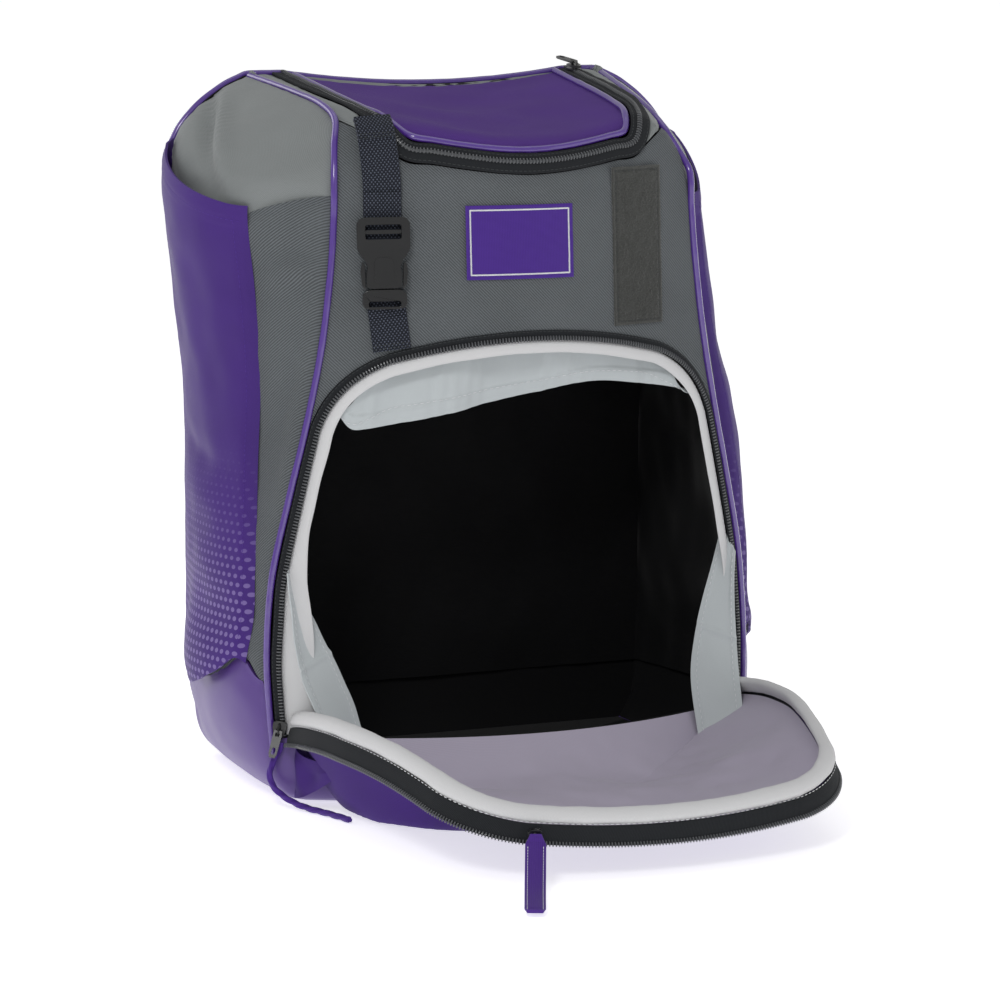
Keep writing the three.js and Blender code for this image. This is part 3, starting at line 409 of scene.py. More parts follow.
@dataclass
class Run:
    """A line on the bag with the way out of the surface at each of its points."""

    at: Array
    out: Array

    @classmethod
    def facing(cls, at: Array, way: Sequence[float]) -> "Run":
        """Make a run whose way out is the same all along."""
        return cls(at, np.tile(np.asarray(way, float), (len(at), 1)))

    def smooth(self, rounds: int) -> "Run":
        """Even out the outward directions.

        Args:
            rounds: How many times each is mixed with its neighbours.

        Returns:
            The evened run.
        """
        out = self.out
        for _ in range(rounds):
            padded = np.concatenate([out[:1], out, out[-1:]])
            out = unit(2 * out + padded[:-2] + padded[2:])
        return Run(self.at, out)

    def respaced(self, count: int) -> "Run":
        """Space the run's points evenly.

        Args:
            count: How many points it gets.

        Returns:
            The new run.
        """
        both = np.column_stack([self.at, self.out])
        run = lengths(self.at)
        smooth = read(np.column_stack([run, both]), np.linspace(0, run[-1], 8 * count))
        run = lengths(smooth[:, :3])
        at = np.linspace(0, run[-1], count)
        even = sampled(at, run, smooth)
        return Run(even[:, :3], unit(even[:, 3:]))

    def frame(self) -> tuple[Array, Array, Array]:
        """Give the directions along, across and up at each point."""
        along = unit(np.gradient(self.at, axis=0))
        across = unit(np.cross(along, self.out))
        return along, across, unit(np.cross(across, along))

    def shifted(self, across: float | Array, up: float | Array = 0.0) -> "Run":
        """Move the run sideways and off its surface.

        Args:
            across: How far sideways, in metres.
            up: How far out, in metres.

        Returns:
            The moved run.
        """
        _, side, top = self.frame()
        move = side * np.reshape(across, (-1, 1)) + top * np.reshape(up, (-1, 1))
        return Run(self.at + move, self.out)

    def part(self, start: float, end: float, count: int) -> "Run":
        """Cut out a part of the run by shares of its length.

        Args:
            start: Where the part begins.
            end: Where it ends.
            count: How many points it gets.

        Returns:
            The part.
        """
        run = lengths(self.at)
        at = np.linspace(start * run[-1], end * run[-1], count)
        both = np.column_stack([self.at, self.out])
        cut = sampled(at, run, both)
        return Run(cut[:, :3], unit(cut[:, 3:]))

    def band(self, outline: Array) -> Solid:
        """Sweep a closed outline along the run.

        Args:
            outline: Its corners, across and up, the same all along or one set for each point.

        Returns:
            The closed band, its weave running across and along.
        """
        _, side, top = self.frame()
        outline = np.broadcast_to(outline, (len(self.at), *np.shape(outline)[-2:]))
        points = self.at[:, None] + side[:, None] * outline[..., :1] + top[:, None] * outline[..., 1:]
        rows, columns = points.shape[:2]
        faces = quads(rows, columns, True)
        flat = points.reshape(-1, 3)
        middles = np.stack([points[0].mean(0), points[-1].mean(0)])
        k = np.arange(columns)
        after = (k + 1) % columns
        last = (rows - 1) * columns
        start = np.stack([np.full(columns, len(flat)), after, k], 1)
        end = np.stack([np.full(columns, len(flat) + 1), last + k, last + after], 1)
        caps = np.concatenate([start, end])
        whole = np.concatenate([flat, middles])
        facing = outward(whole, faces)
        if not np.array_equal(facing, faces):
            caps = caps[:, [0, 2, 1]]
        run = lengths(self.at)
        woven = np.zeros((len(whole), 3))
        woven[: len(flat), 0] = outline[..., 0].ravel()
        woven[: len(flat), 1] = np.repeat(run, columns)
        woven[-1, 1] = run[-1]
        solid = Solid().add(whole, facing, woven)
        solid.faces.append(caps)
        return solid

    def tube(self, radius: float | Array, sides: int = 12) -> Solid:
        """Sweep a round section along the run.

        Args:
            radius: The radius, one value or one for each point.
            sides: How many sides the section has.

        Returns:
            The closed tube.
        """
        turn = np.arange(sides) * FULL_TURN / sides
        ring = np.stack([np.cos(turn), np.sin(turn)], 1)
        radius = np.broadcast_to(np.asarray(radius, float), (len(self.at),))
        return self.band(ring[None] * radius[:, None, None])

    def strew(self, points: Array, faces: Array, pitch: float, tilt: float = 0.0) -> Solid:
        """Set copies of a small body along the run.

        Args:
            points: The body's points as across, along and up.
            faces: Its faces.
            pitch: The distance between copies.
            tilt: The turn of each copy in its surface, in radians.

        Returns:
            All the copies.
        """
        count = max(2, int(lengths(self.at)[-1] / pitch))
        spaced = self.respaced(count)
        along, side, top = spaced.frame()
        cos, sin = math.cos(tilt), math.sin(tilt)
        a = points[:, :1] * cos - points[:, 1:2] * sin
        b = points[:, :1] * sin + points[:, 1:2] * cos
        places = spaced.at[:, None] + side[:, None] * a + along[:, None] * b + top[:, None] * points[:, 2:]
        index = np.arange(count)[:, None, None] * len(points)
        if np.linalg.det(np.stack([side[0], along[0], top[0]])) < 0:
            faces = faces[:, ::-1]
        return Solid().add(places, (faces[None] + index).reshape(-1, faces.shape[1]))


def pill(length: float, width: float, height: float) -> tuple[Array, Array]:
    """Make a small rounded bar that lies along the second axis.

    Args:
        length: Its length.
        width: Its width.
        height: Its height over the surface.

    Returns:
        Its points and faces.
    """
    turn = np.arange(6) * FULL_TURN / 6
    rows = []
    for share, full in ((-0.5, 0.35), (-0.3, 1.0), (0.3, 1.0), (0.5, 0.35)):
        ring = np.stack([np.cos(turn) * width / 2 * full, np.full(6, share * length)], 1)
        rows.append(np.column_stack([ring, np.sin(turn) * height / 2 * full + height * 0.3]))
    points = np.array(rows)
    faces = quads(4, 6, True)
    caps = np.array([[0, 1, 2, 3], [0, 3, 4, 5], [21, 20, 19, 18], [23, 22, 21, 18]])
    return points.reshape(-1, 3), np.concatenate([outward(points, faces), caps])


def stitches(run: Run, length: float = 2.4, gap: float = 1.1, width: float = 0.55) -> Solid:
    """Sew stitches along a run, by their length, the gap and the thread's width in millimetres."""
    return run.strew(*pill(length * MM, width * MM, 0.6 * width * MM), (length + gap) * MM)


def bars(run: Run, size: tuple[float, float, float], pitch: float) -> Solid:
    """Set bars such as zip teeth along a run, by length, width and height in millimetres."""
    return run.strew(*pill(*(side * MM for side in size)), pitch)


def mirrored(half: Sequence[tuple[float, float]]) -> Array:
    """Close half an outline in millimetres with its mirror image, in metres."""
    right = np.asarray(half, float)
    return np.concatenate([right, right[::-1] * [-1, 1]]) * MM


def hex_colour(code: str) -> tuple[float, float, float, float]:
    """Turn a hex colour of the screen into a linear one."""
    parts = [int(code[k : k + 2], 16) / 255 for k in (1, 3, 5)]
    linear = [c / 12.92 if c <= 0.04045 else ((c + 0.055) / 1.055) ** 2.4 for c in parts]
    return (*linear, 1.0)


class Graph:
    """A material's nodes while they are joined up."""

    def __init__(self, name: str) -> None:
        """Start a material."""
        self.material = bpy.data.materials.new(name)
        self.material.use_nodes = True
        self.tree = self.material.node_tree
        self.tree.nodes.clear()

    def put(self, socket: bpy.types.NodeSocket, value: object) -> None:
        """Link a socket to another, or give it a value.

        Args:
            socket: The socket.
            value: Another node's output, or a value.
        """
        if isinstance(value, bpy.types.NodeSocket):
            self.tree.links.new(value, socket)
        else:
            socket.default_value = value

    def node(self, kind: str, settings: dict, inputs: dict) -> bpy.types.Node:
        """Add a node.

        Args:
            kind: The node's type.
            settings: Its options by name.
            inputs: Its sockets' values or links, by name or index.

        Returns:
            The node.
        """
        node = self.tree.nodes.new(kind)
        for key, value in settings.items():
            setattr(node, key, value)
        for key, value in inputs.items():
            self.put(node.inputs[key], value)
        return node

    def math(self, operation: str, *values: object) -> bpy.types.NodeSocket:
        """Add a Math node and give its output."""
        inputs = dict(enumerate(values))
        return self.node("ShaderNodeMath", {"operation": operation}, inputs).outputs[0]

    def plus(self, first: object, second: object) -> bpy.types.NodeSocket:
        """Add two values."""
        return self.math("ADD", first, second)

    def minus(self, first: object, second: object) -> bpy.types.NodeSocket:
        """Subtract the second value from the first."""
        return self.math("SUBTRACT", first, second)

    def times(self, first: object, second: object) -> bpy.types.NodeSocket:
        """Multiply two values."""
        return self.math("MULTIPLY", first, second)

    def wave(self, at: bpy.types.NodeSocket, pitch: float) -> bpy.types.NodeSocket:
        """Give a sine along a coordinate, from -1 to 1."""
        return self.math("SINE", self.math("MULTIPLY", at, FULL_TURN / pitch))

    def noise(self, at: bpy.types.NodeSocket, size: float, detail: float = 2.0) -> bpy.types.NodeSocket:
        """Give a noise of a given grain size in metres, from 0 to 1."""
        inputs = {"Vector": at, "Scale": 1 / size, "Detail": detail}
        return self.node("ShaderNodeTexNoise", {}, inputs).outputs[0]

    def mix(self, factor: object, low: object, high: object) -> bpy.types.NodeSocket:
        """Mix two colours."""
        settings = {"data_type": "RGBA"}
        return self.node("ShaderNodeMix", settings, {0: factor, 6: low, 7: high}).outputs[2]

    def ramp(self, value: object, low: float, high: float) -> bpy.types.NodeSocket:
        """Rise smoothly from 0 at low to 1 at high."""
        settings = {"interpolation_type": "SMOOTHSTEP"}
        inputs = {0: value, 1: low, 2: high}
        return self.node("ShaderNodeMapRange", settings, inputs).outputs[0]


class Weave(Enum):
    """How a surface is made up."""

    PLAIN = "plain weave"
    TWILL = "diagonal twill"
    RIB = "ribbed webbing"
    SATIN = "satin"
    PILE = "looped pile"
    COATED = "coated weave"
    MOULDED = "moulded"
    THREAD = "thread"


@dataclass(frozen=True)
class Print:
    """A halftone of small dots that fades up a cloth, in millimetres."""

    colour: str = "#77659F"
    across: float = 5.0
    down: float = 5.6
    least: float = 0.7
    most: float = 1.55
    foot: float = 118.0
    head: float = 262.0

    def mask(self, graph: Graph, u: bpy.types.NodeSocket, v: bpy.types.NodeSocket) -> bpy.types.NodeSocket:
        """Give the share of ink at each place.

        Args:
            graph: The material's nodes.
            u: The cloth's coordinate across.
            v: The cloth's coordinate up.

        Returns:
            The ink from 0 to 1.
        """
        row = graph.math("DIVIDE", v, self.down * MM)
        odd = graph.times(graph.math("FLOOR", row), 0.5)
        column = graph.plus(graph.math("DIVIDE", u, self.across * MM), odd)
        a = graph.minus(graph.math("FRACT", column), 0.5)
        b = graph.minus(graph.math("FRACT", row), 0.5)
        a = graph.times(a, self.across)
        b = graph.times(b, self.down)
        reach = graph.math("SQRT", graph.plus(graph.times(a, a), graph.times(b, b)))
        fade = graph.ramp(v, self.head * MM, self.foot * MM)
        size = graph.plus(self.least, graph.times(fade, self.most - self.least))
        dot = graph.ramp(graph.minus(size, reach), -0.12, 0.12)
        return graph.times(dot, graph.math("POWER", fade, 1.6))


@dataclass(frozen=True)
class Finish:
    """A surface's colour, weave and gloss."""

    name: str
    slot: str
    colour: str
    weave: Weave
    pitch: float = 1.2
    relief: float = 0.12
    contrast: float = 0.35
    mottle: float = 0.12
    roughness: float = 0.8
    sheen: float = 0.15
    coat: float = 0.0
    fleck: str = ""
    dots: Print | None = None

    def height(self, graph: Graph, cloth: bpy.types.NodeSocket) -> bpy.types.NodeSocket:
        """Give the height of the weave at each place.

        Args:
            graph: The material's nodes.
            cloth: The cloth's coordinates.

        Returns:
            The height from about 0 to 1.
        """
        parts = graph.node("ShaderNodeSeparateXYZ", {}, {0: cloth}).outputs
        u, v, pitch = parts[0], parts[1], self.pitch * MM
        grain = graph.noise(cloth, 0.6 * pitch, 1.0)
        if self.weave in (Weave.PLAIN, Weave.COATED):
            threads = graph.times(graph.wave(u, pitch), graph.wave(v, pitch))
        elif self.weave is Weave.TWILL:
            slant = graph.wave(graph.plus(u, v), pitch)
            cross = graph.wave(graph.minus(u, v), 0.5 * pitch)
            threads = graph.plus(slant, graph.times(cross, 0.3))
        elif self.weave is Weave.RIB:
            bumps = graph.times(graph.wave(u, 1.6 * pitch), 0.4)
            threads = graph.plus(graph.wave(v, pitch), bumps)
        elif self.weave is Weave.SATIN:
            threads = graph.times(graph.wave(graph.plus(v, graph.times(u, 0.2)), pitch), 0.5)
        elif self.weave is Weave.THREAD:
            threads = graph.wave(graph.plus(u, v), pitch)
        else:
            threads = graph.minus(graph.times(graph.noise(cloth, pitch, 3.0), 3.0), 1.5)
        half = graph.plus(graph.times(threads, 0.35), 0.3)
        return graph.plus(half, graph.times(grain, 0.4))

    @functools.lru_cache(maxsize=None)
    def material(self) -> bpy.types.Material:
        """Build the material once and give it."""
        graph = Graph(self.name)
        cloth = graph.node("ShaderNodeAttribute", {"attribute_name": "cloth"}, {}).outputs["Vector"]
        place = graph.node("ShaderNodeTexCoord", {}, {}).outputs["Object"]
        height = self.height(graph, cloth)
        base = hex_colour(self.colour)
        dark = tuple(c * (1 - self.contrast) for c in base[:3]) + (1.0,)
        light = tuple(min(1.0, c * (1 + 0.5 * self.contrast)) for c in base[:3]) + (1.0,)
        wide = graph.noise(place, 45 * MM, 3.0)
        lit = graph.plus(height, graph.times(graph.minus(wide, 0.5), 4 * self.mottle))
        colour = graph.mix(graph.ramp(lit, 0.0, 1.0), dark, light)
        parts = graph.node("ShaderNodeSeparateXYZ", {}, {0: cloth}).outputs
        if self.fleck:
            stretch = {0: cloth, 1: (1.0, 0.35, 1.0)}
            streak = graph.node("ShaderNodeVectorMath", {"operation": "MULTIPLY"}, stretch)
            ribs = graph.wave(parts[0], 1.6 * self.pitch * MM)
            weft = graph.times(ribs, graph.wave(parts[1], 2 * self.pitch * MM))
            loose = graph.times(graph.noise(streak.outputs[0], 0.7 * self.pitch * MM, 1.0), 0.9)
            spots = graph.ramp(graph.plus(weft, loose), 0.72, 1.15)
            colour = graph.mix(spots, colour, hex_colour(self.fleck))
        if self.dots:
            ink = self.dots.mask(graph, parts[0], parts[1])
            colour = graph.mix(ink, colour, hex_colour(self.dots.colour))
        bump = graph.node(
            "ShaderNodeBump", {}, {"Strength": 1.0, "Distance": self.relief * MM, "Height": height}
        ).outputs[0]
        uneven = graph.times(graph.minus(wide, 0.5), 0.2)
        rough = graph.plus(uneven, self.roughness)
        shader = graph.node(
            "ShaderNodeBsdfPrincipled",
            {},
            {
                "Base Color": colour,
                "Roughness": rough,
                "Normal": bump,
                "Specular IOR Level": 0.5 if self.coat else 0.16,
                "Sheen Weight": self.sheen,
                "Sheen Roughness": 0.45,
                "Coat Weight": self.coat,
                "Coat Roughness": 0.07 if self.weave is Weave.MOULDED else 0.22,
            },
        )
        graph.node("ShaderNodeOutputMaterial", {}, {"Surface": shader.outputs[0]})
        return graph.material


PURPLE = Finish(
    "purple woven polyester", "purple", "#452A78", Weave.PLAIN, 0.9, 0.1, roughness=0.72, sheen=0.04
)
SLEEVE_PURPLE = Finish(
    "printed sleeve cloth",
    "purple",
    "#452979",
    Weave.PLAIN,
    0.8,
    0.09,
    roughness=0.55,
    sheen=0.1,
    dots=Print(),
)
LID_PURPLE = Finish(
    "ribbed lid cloth", "purple", "#50337F", Weave.PLAIN, 1.3, 0.14, 0.25, roughness=0.78, sheen=0.02
)
PATCH_PURPLE = Finish(
    "satin-stitched patch", "purple", "#4A2A8A", Weave.RIB, 0.7, 0.12, 0.3, 0.06, 0.45, 0.15
)
TAG_PURPLE = Finish("woven tag", "purple", "#4B2A86", Weave.RIB, 0.8, 0.15, 0.3, 0.05, 0.5, 0.1)
BOOT = Finish("coated boot cloth", "boot", "#573D86", Weave.COATED, 0.7, 0.05, 0.12, 0.08, 0.42, 0.0, 0.12)
PIPING = Finish("glossy piping", "piping", "#50308C", Weave.MOULDED, 6.0, 0.02, 0.1, 0.05, 0.2, 0.0, 1.0)
TWILL = Finish("charcoal twill", "twill", "#606467", Weave.TWILL, 2.1, 0.22, 0.5, 0.1, 0.85, 0.06)
GREY = Finish("soft grey cloth", "grey", "#808484", Weave.PLAIN, 1.0, 0.1, 0.2, 0.07, 0.88, 0.2)
BLACK = Finish("black lining", "black", "#0D0D0F", Weave.PLAIN, 1.0, 0.08, 0.3, 0.1, 0.75, 0.12)
TAPE = Finish("zip tape", "black", "#26282B", Weave.TWILL, 1.0, 0.12, 0.4, 0.05, 0.85, 0.05)
# Zip teeth: near-black moulded nylon; the grey colour is partly their own dark tone and partly painted
# highlight, lifted lighter to stand in for the glints along their edges.
TEETH = Finish("zip teeth", "plastic", "#4E5053", Weave.MOULDED, 0.8, 0.02, 0.1, 0.02, 0.28, 0.0, 0.4)
PLASTIC = Finish("moulded acetal", "plastic", "#0E0F11", Weave.MOULDED, 0.5, 0.02, 0.1, 0.02, 0.3, 0.0, 0.3)
BINDING = Finish("light grey binding", "binding", "#D2D2D3", Weave.PLAIN, 0.9, 0.08, 0.1, 0.03, 0.82, 0.1)
SATIN = Finish("grey satin", "satin", "#BCC2C4", Weave.SATIN, 0.7, 0.05, 0.1, 0.05, 0.42, 0.25)
WEBBING = Finish(
    "flecked webbing", "webbing", "#20232B", Weave.RIB, 1.5, 0.3, 0.4, 0.05, 0.85, 0.1, fleck="#565B68"
)
FUZZ = Finish("loop pile", "fuzz", "#4A4B49", Weave.PILE, 0.9, 0.5, 0.5, 0.1, 0.95, 0.3)
LAVENDER = Finish("lavender lining", "lavender", "#B3ACBD", Weave.SATIN, 0.8, 0.05, 0.1, 0.06, 0.45, 0.2)
DARK_THREAD = Finish("dark thread", "black", "#3E4142", Weave.THREAD, 0.5, 0.05, 0.2, 0.0, 0.6)
WHITE_THREAD = Finish("white thread", "binding", "#DEDFE2", Weave.THREAD, 0.5, 0.05, 0.15, 0.0, 0.55)
PURPLE_THREAD = Finish("purple thread", "purple", "#4B2C86", Weave.THREAD, 0.5, 0.05, 0.2, 0.0, 0.5)


def show(name: str, solid: Solid, finish: Finish, *nodes: str, sharp: float = 50.0) -> bpy.types.Object:
    """Put a finished piece on the bag.

    Args:
        name: The piece's name.
        solid: Its body.
        finish: Its finish.
        nodes: The frame's nodes that it stands for.
        sharp: The angle in degrees from which an edge is crisp.

    Returns:
        The piece.
    """
    piece = bpy.data.objects.new(name, solid.mesh(name, sharp))
    bpy.context.scene.collection.objects.link(piece)
    piece.data.materials.append(finish.material())
    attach(piece, BODY)
    if nodes:
        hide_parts(*nodes)
    LOG.info("%s: %d faces, %s", name, len(piece.data.polygons), finish.name)
    return piece


@dataclass(frozen=True)
class BodyForm:
    """The bag's outer form, whose panels and trims are all laid on it."""

    height: float = 0.466
    half_width: float = 0.1745
    front_reach: float = 0.1116
    back_reach: float = 0.1
    front_lean: float = 0.0453
    back_lean: float = 0.014
    front_bow: float = 0.053
    top_fall: float = 0.018
    sag_front: float = 0.016
    sag_back: float = 0.008
    sag_half: float = 0.105
    shoulder: float = 0.062
    boot_height: float = 0.112
    skew: float = 0.7
    sections: tuple[tuple[float, ...], ...] = (
        (0, 0.962, 0.95, 0.02, 0.02),
        (0.06, 0.98, 0.97, 0.07, 0.07),
        (0.1, 0.989, 0.975, 0.1, 0.1),
        (0.15, 0.996, 0.98, 0.115, 0.115),
        (0.2, 1, 0.985, 0.095, 0.095),
        (0.26, 0.99, 0.985, 0.055, 0.06),
        (0.322, 0.975, 0.985, 0.055, 0.07),
        (0.455, 0.9, 0.985, 0.07, 0.085),
        (0.589, 0.818, 1, 0.1, 0.075),
        (0.715, 0.765, 1.03, 0.15, 0.05),
        (0.84, 0.737, 1.065, 0.195, 0.035),
        (1, 0.735, 1.07, 0.15, 0.03),
    )
    rings: tuple[tuple[float, ...], ...] = (
        (0, 1, 0.13, 0.24, 0.12),
        (0.009, 1, 0.065, 0.12, 0.06),
        (0.032, 1, 0.018, 0.035, 0.015),
        (0.07, 1, 0, 0, 0),
        (0.17, 1, 0, 0, 0),
        (0.28, 1, 0, 0, 0),
        (0.45, 1, 0, 0, 0),
        (0.64, 1, 0, 0, 0),
        (0.83, 1, 0, 0, 0),
        (1, 1, 0, 0, 0),
        (1, 0.65, 0.03, 0, 0),
        (1, 0.38, 0.1, 0.005, 0),
        (1, 0.17, 0.19, 0.04, 0),
        (1, 0.05, 0.27, 0.12, 0),
        (1, 0, 0.34, 0.24, 0.02),
        (1, 0, 0.56, 0.5, 0.3),
        (1, 0, 0.8, 0.8, 0.7),
    )
    boot_edge: tuple[tuple[float, float], ...] = (
        (-0.58, 0.715),
        (-0.44, 0.75),
        (-0.31, 0.85),
        (-0.12, 0.77),
        (0.1, 0.68),
        (0.28, 0.66),
        (0.48, 0.785),
        (0.65, 0.93),
        (0.9, 1),
        (1.4, 1),
    )

    @property
    def top_reach(self) -> float:
        """The back's reach at the top."""
        return self.back_reach + self.back_lean

    def front_y(self, x: Array, z: Array) -> Array:
        """Give the front face's place in Y."""
        bow = self.front_bow * (x / self.half_width) ** 2
        return -self.front_reach + self.front_lean * z / self.height + bow

    def back_y(self, z: Array) -> Array:
        """Give the back face's place in Y."""
        return self.back_reach + self.back_lean * z / self.height

    def widths(self, z: Array) -> Array:
        """Give the front, back, left and right half widths at a height."""
        return self.half_width * read(self.sections, np.asarray(z) / self.height)

    def top_z(self, x: Array, y: Array) -> Array:
        """Give the top's height over a place.

        Args:
            x: Across.
            y: From the front to the back.

        Returns:
            The height, with the lid's sag.
        """
        forward = (self.top_reach - y) / (self.top_reach + self.front_reach - self.front_lean)
        across = np.maximum(0, 1 - (x / self.sag_half) ** 2)
        sag = self.sag_back + (self.sag_front - self.sag_back) * forward
        return self.height - self.top_fall * forward - sag * across

    def plan(self, q: Array, z: Array) -> tuple[Array, Array]:
        """Give a point of the outline at a height.

        Args:
            q: The place on the outline: 0 at the front's middle, 1 at the front seam, 2 at the
                back corner and 3 at the back's middle, negative on the left.
            z: The height.

        Returns:
            Its X and Y.
        """
        hand, a = np.where(q < 0, -1.0, 1.0), np.abs(q)
        front, corner, left, right = np.moveaxis(self.widths(z), -1, 0)
        back, seam_y = self.back_y(z), self.front_y(front, z)
        s = np.clip(a - 1, 0, 1)
        bulge = np.where(hand > 0, right, left) * np.sin(np.pi * s**self.skew)
        side_x = front + (corner - front) * s + bulge
        f = np.minimum(a, 1)
        x = np.where(a <= 1, front * f, np.where(a <= 2, side_x, corner * (3 - a)))
        side_y = seam_y + (back - seam_y) * s
        y = np.where(a <= 1, self.front_y(front * f, z), np.where(a <= 2, side_y, back))
        return hand * x, y

    def ring_point(self, q: Array, ring: Array) -> Array:
        """Give points of the form.

        Args:
            q: Places on the outline.
            ring: The place up the form, counted in rings.

        Returns:
            The points.
        """
        rows = [(k, *row) for k, row in enumerate(self.rings)]
        rise, drop, wide, fore, aft = np.moveaxis(read(rows, ring), -1, 0)
        x, y = self.plan(q, rise * (self.height - drop * self.shoulder))
        x, y = self.plan(q, rise * (self.top_z(x, y) - drop * self.shoulder))
        x, y = x * (1 - wide), y * (1 - np.where(y < 0, fore, aft))
        return np.stack([x, y, rise * (self.top_z(x, y) - drop * self.shoulder)], -1)

    @functools.cached_property
    def tree(self) -> BVHTree:
        """The form as a fine closed surface to cast rays at."""
        q = np.linspace(-3, 3, 361)[:-1]
        levels = np.linspace(0, len(self.rings) - 1, 129)
        grid = self.ring_point(*np.meshgrid(q, levels))
        count = grid.shape[0] * grid.shape[1]
        middles = np.stack([grid[0].mean(0), grid[-1].mean(0)])
        faces = quads(*grid.shape[:2], True).tolist()
        columns = grid.shape[1]
        last = count - columns
        for k in range(columns):
            after = (k + 1) % columns
            faces += [(count, after, k), (count + 1, last + k, last + after)]
        return BVHTree.FromPolygons(np.concatenate([grid.reshape(-1, 3), middles]).tolist(), faces)

    def cast(self, origins: Array, ways: Array) -> Run:
        """Cast rays at the form.

        Args:
            origins: Where they start.
            ways: Where they point.

        Returns:
            The places that they hit and the ways out there.
        """
        origins, ways = np.broadcast_arrays(origins, ways)
        at, out = np.empty(origins.shape), np.empty(origins.shape)
        flat_at, flat_out = at.reshape(-1, 3), out.reshape(-1, 3)
        for k, (start, way) in enumerate(zip(origins.reshape(-1, 3), ways.reshape(-1, 3))):
            hit, normal, _, _ = self.tree.ray_cast(Vector(start), Vector(way))
            if hit is None:
                hit, normal, _, _ = self.tree.find_nearest(Vector(start + way * 0.5))
            flat_at[k], flat_out[k] = hit, normal
        flip = np.sum(out * ways, axis=-1, keepdims=True) > 0
        return Run(at, np.where(flip, -out, out))

    def front(self, x: Array, z: Array) -> Run:
        """Find places on the form as seen from the front."""
        x, z = np.broadcast_arrays(np.asarray(x, float), np.asarray(z, float))
        return self.cast(np.stack([x, np.full(x.shape, -0.4), z], -1), np.array([0.0, 1.0, 0.0]))

    def top(self, x: Array, y: Array) -> Run:
        """Find places on the form as seen from above."""
        x, y = np.broadcast_arrays(np.asarray(x, float), np.asarray(y, float))
        return self.cast(np.stack([x, y, np.full(x.shape, 0.8)], -1), np.array([0.0, 0.0, -1.0]))

    def side(self, hand: int, y: Array, z: Array) -> Run:
        """Find places on the form as seen from a side."""
        y, z = np.broadcast_arrays(np.asarray(y, float), np.asarray(z, float))
        start = np.stack([np.full(y.shape, 0.4 * hand), y, z], -1)
        return self.cast(start, np.array([-1.0 * hand, 0.0, 0.0]))

    def wrap(self, points: Array, heart: float = 0.34) -> Array:
        """Bring points onto the form along rays from its inside.

        Args:
            points: Points near the form.
            heart: The greatest height that the rays start from.

        Returns:
            The places on the form.
        """
        start = np.stack(
            [0.25 * points[..., 0], np.full(points.shape[:-1], 0.02), np.minimum(points[..., 2], heart)], -1
        )
        way = unit(points - start)
        return self.cast(start + way * 0.5, -way).at

    def front_run(self, x: Array, z: Array) -> Run:
        """Give places on the front face from its formula, with the way out."""
        x, z = np.broadcast_arrays(np.asarray(x, float), np.asarray(z, float))
        slope = 2 * self.front_bow * x / self.half_width**2
        lean = np.full(x.shape, self.front_lean / self.height)
        out = unit(np.stack([slope, np.full(x.shape, -1.0), lean], -1))
        return Run(np.stack([x, self.front_y(x, z), z], -1), out)

    def boot_top(self, y: Array) -> Array:
        """Give the boot's upper edge over a place from the front to the back."""
        rows = [(back * self.back_reach, up * self.boot_height) for back, up in self.boot_edge]
        return read(rows, y)[..., 0]


FORM = BodyForm()


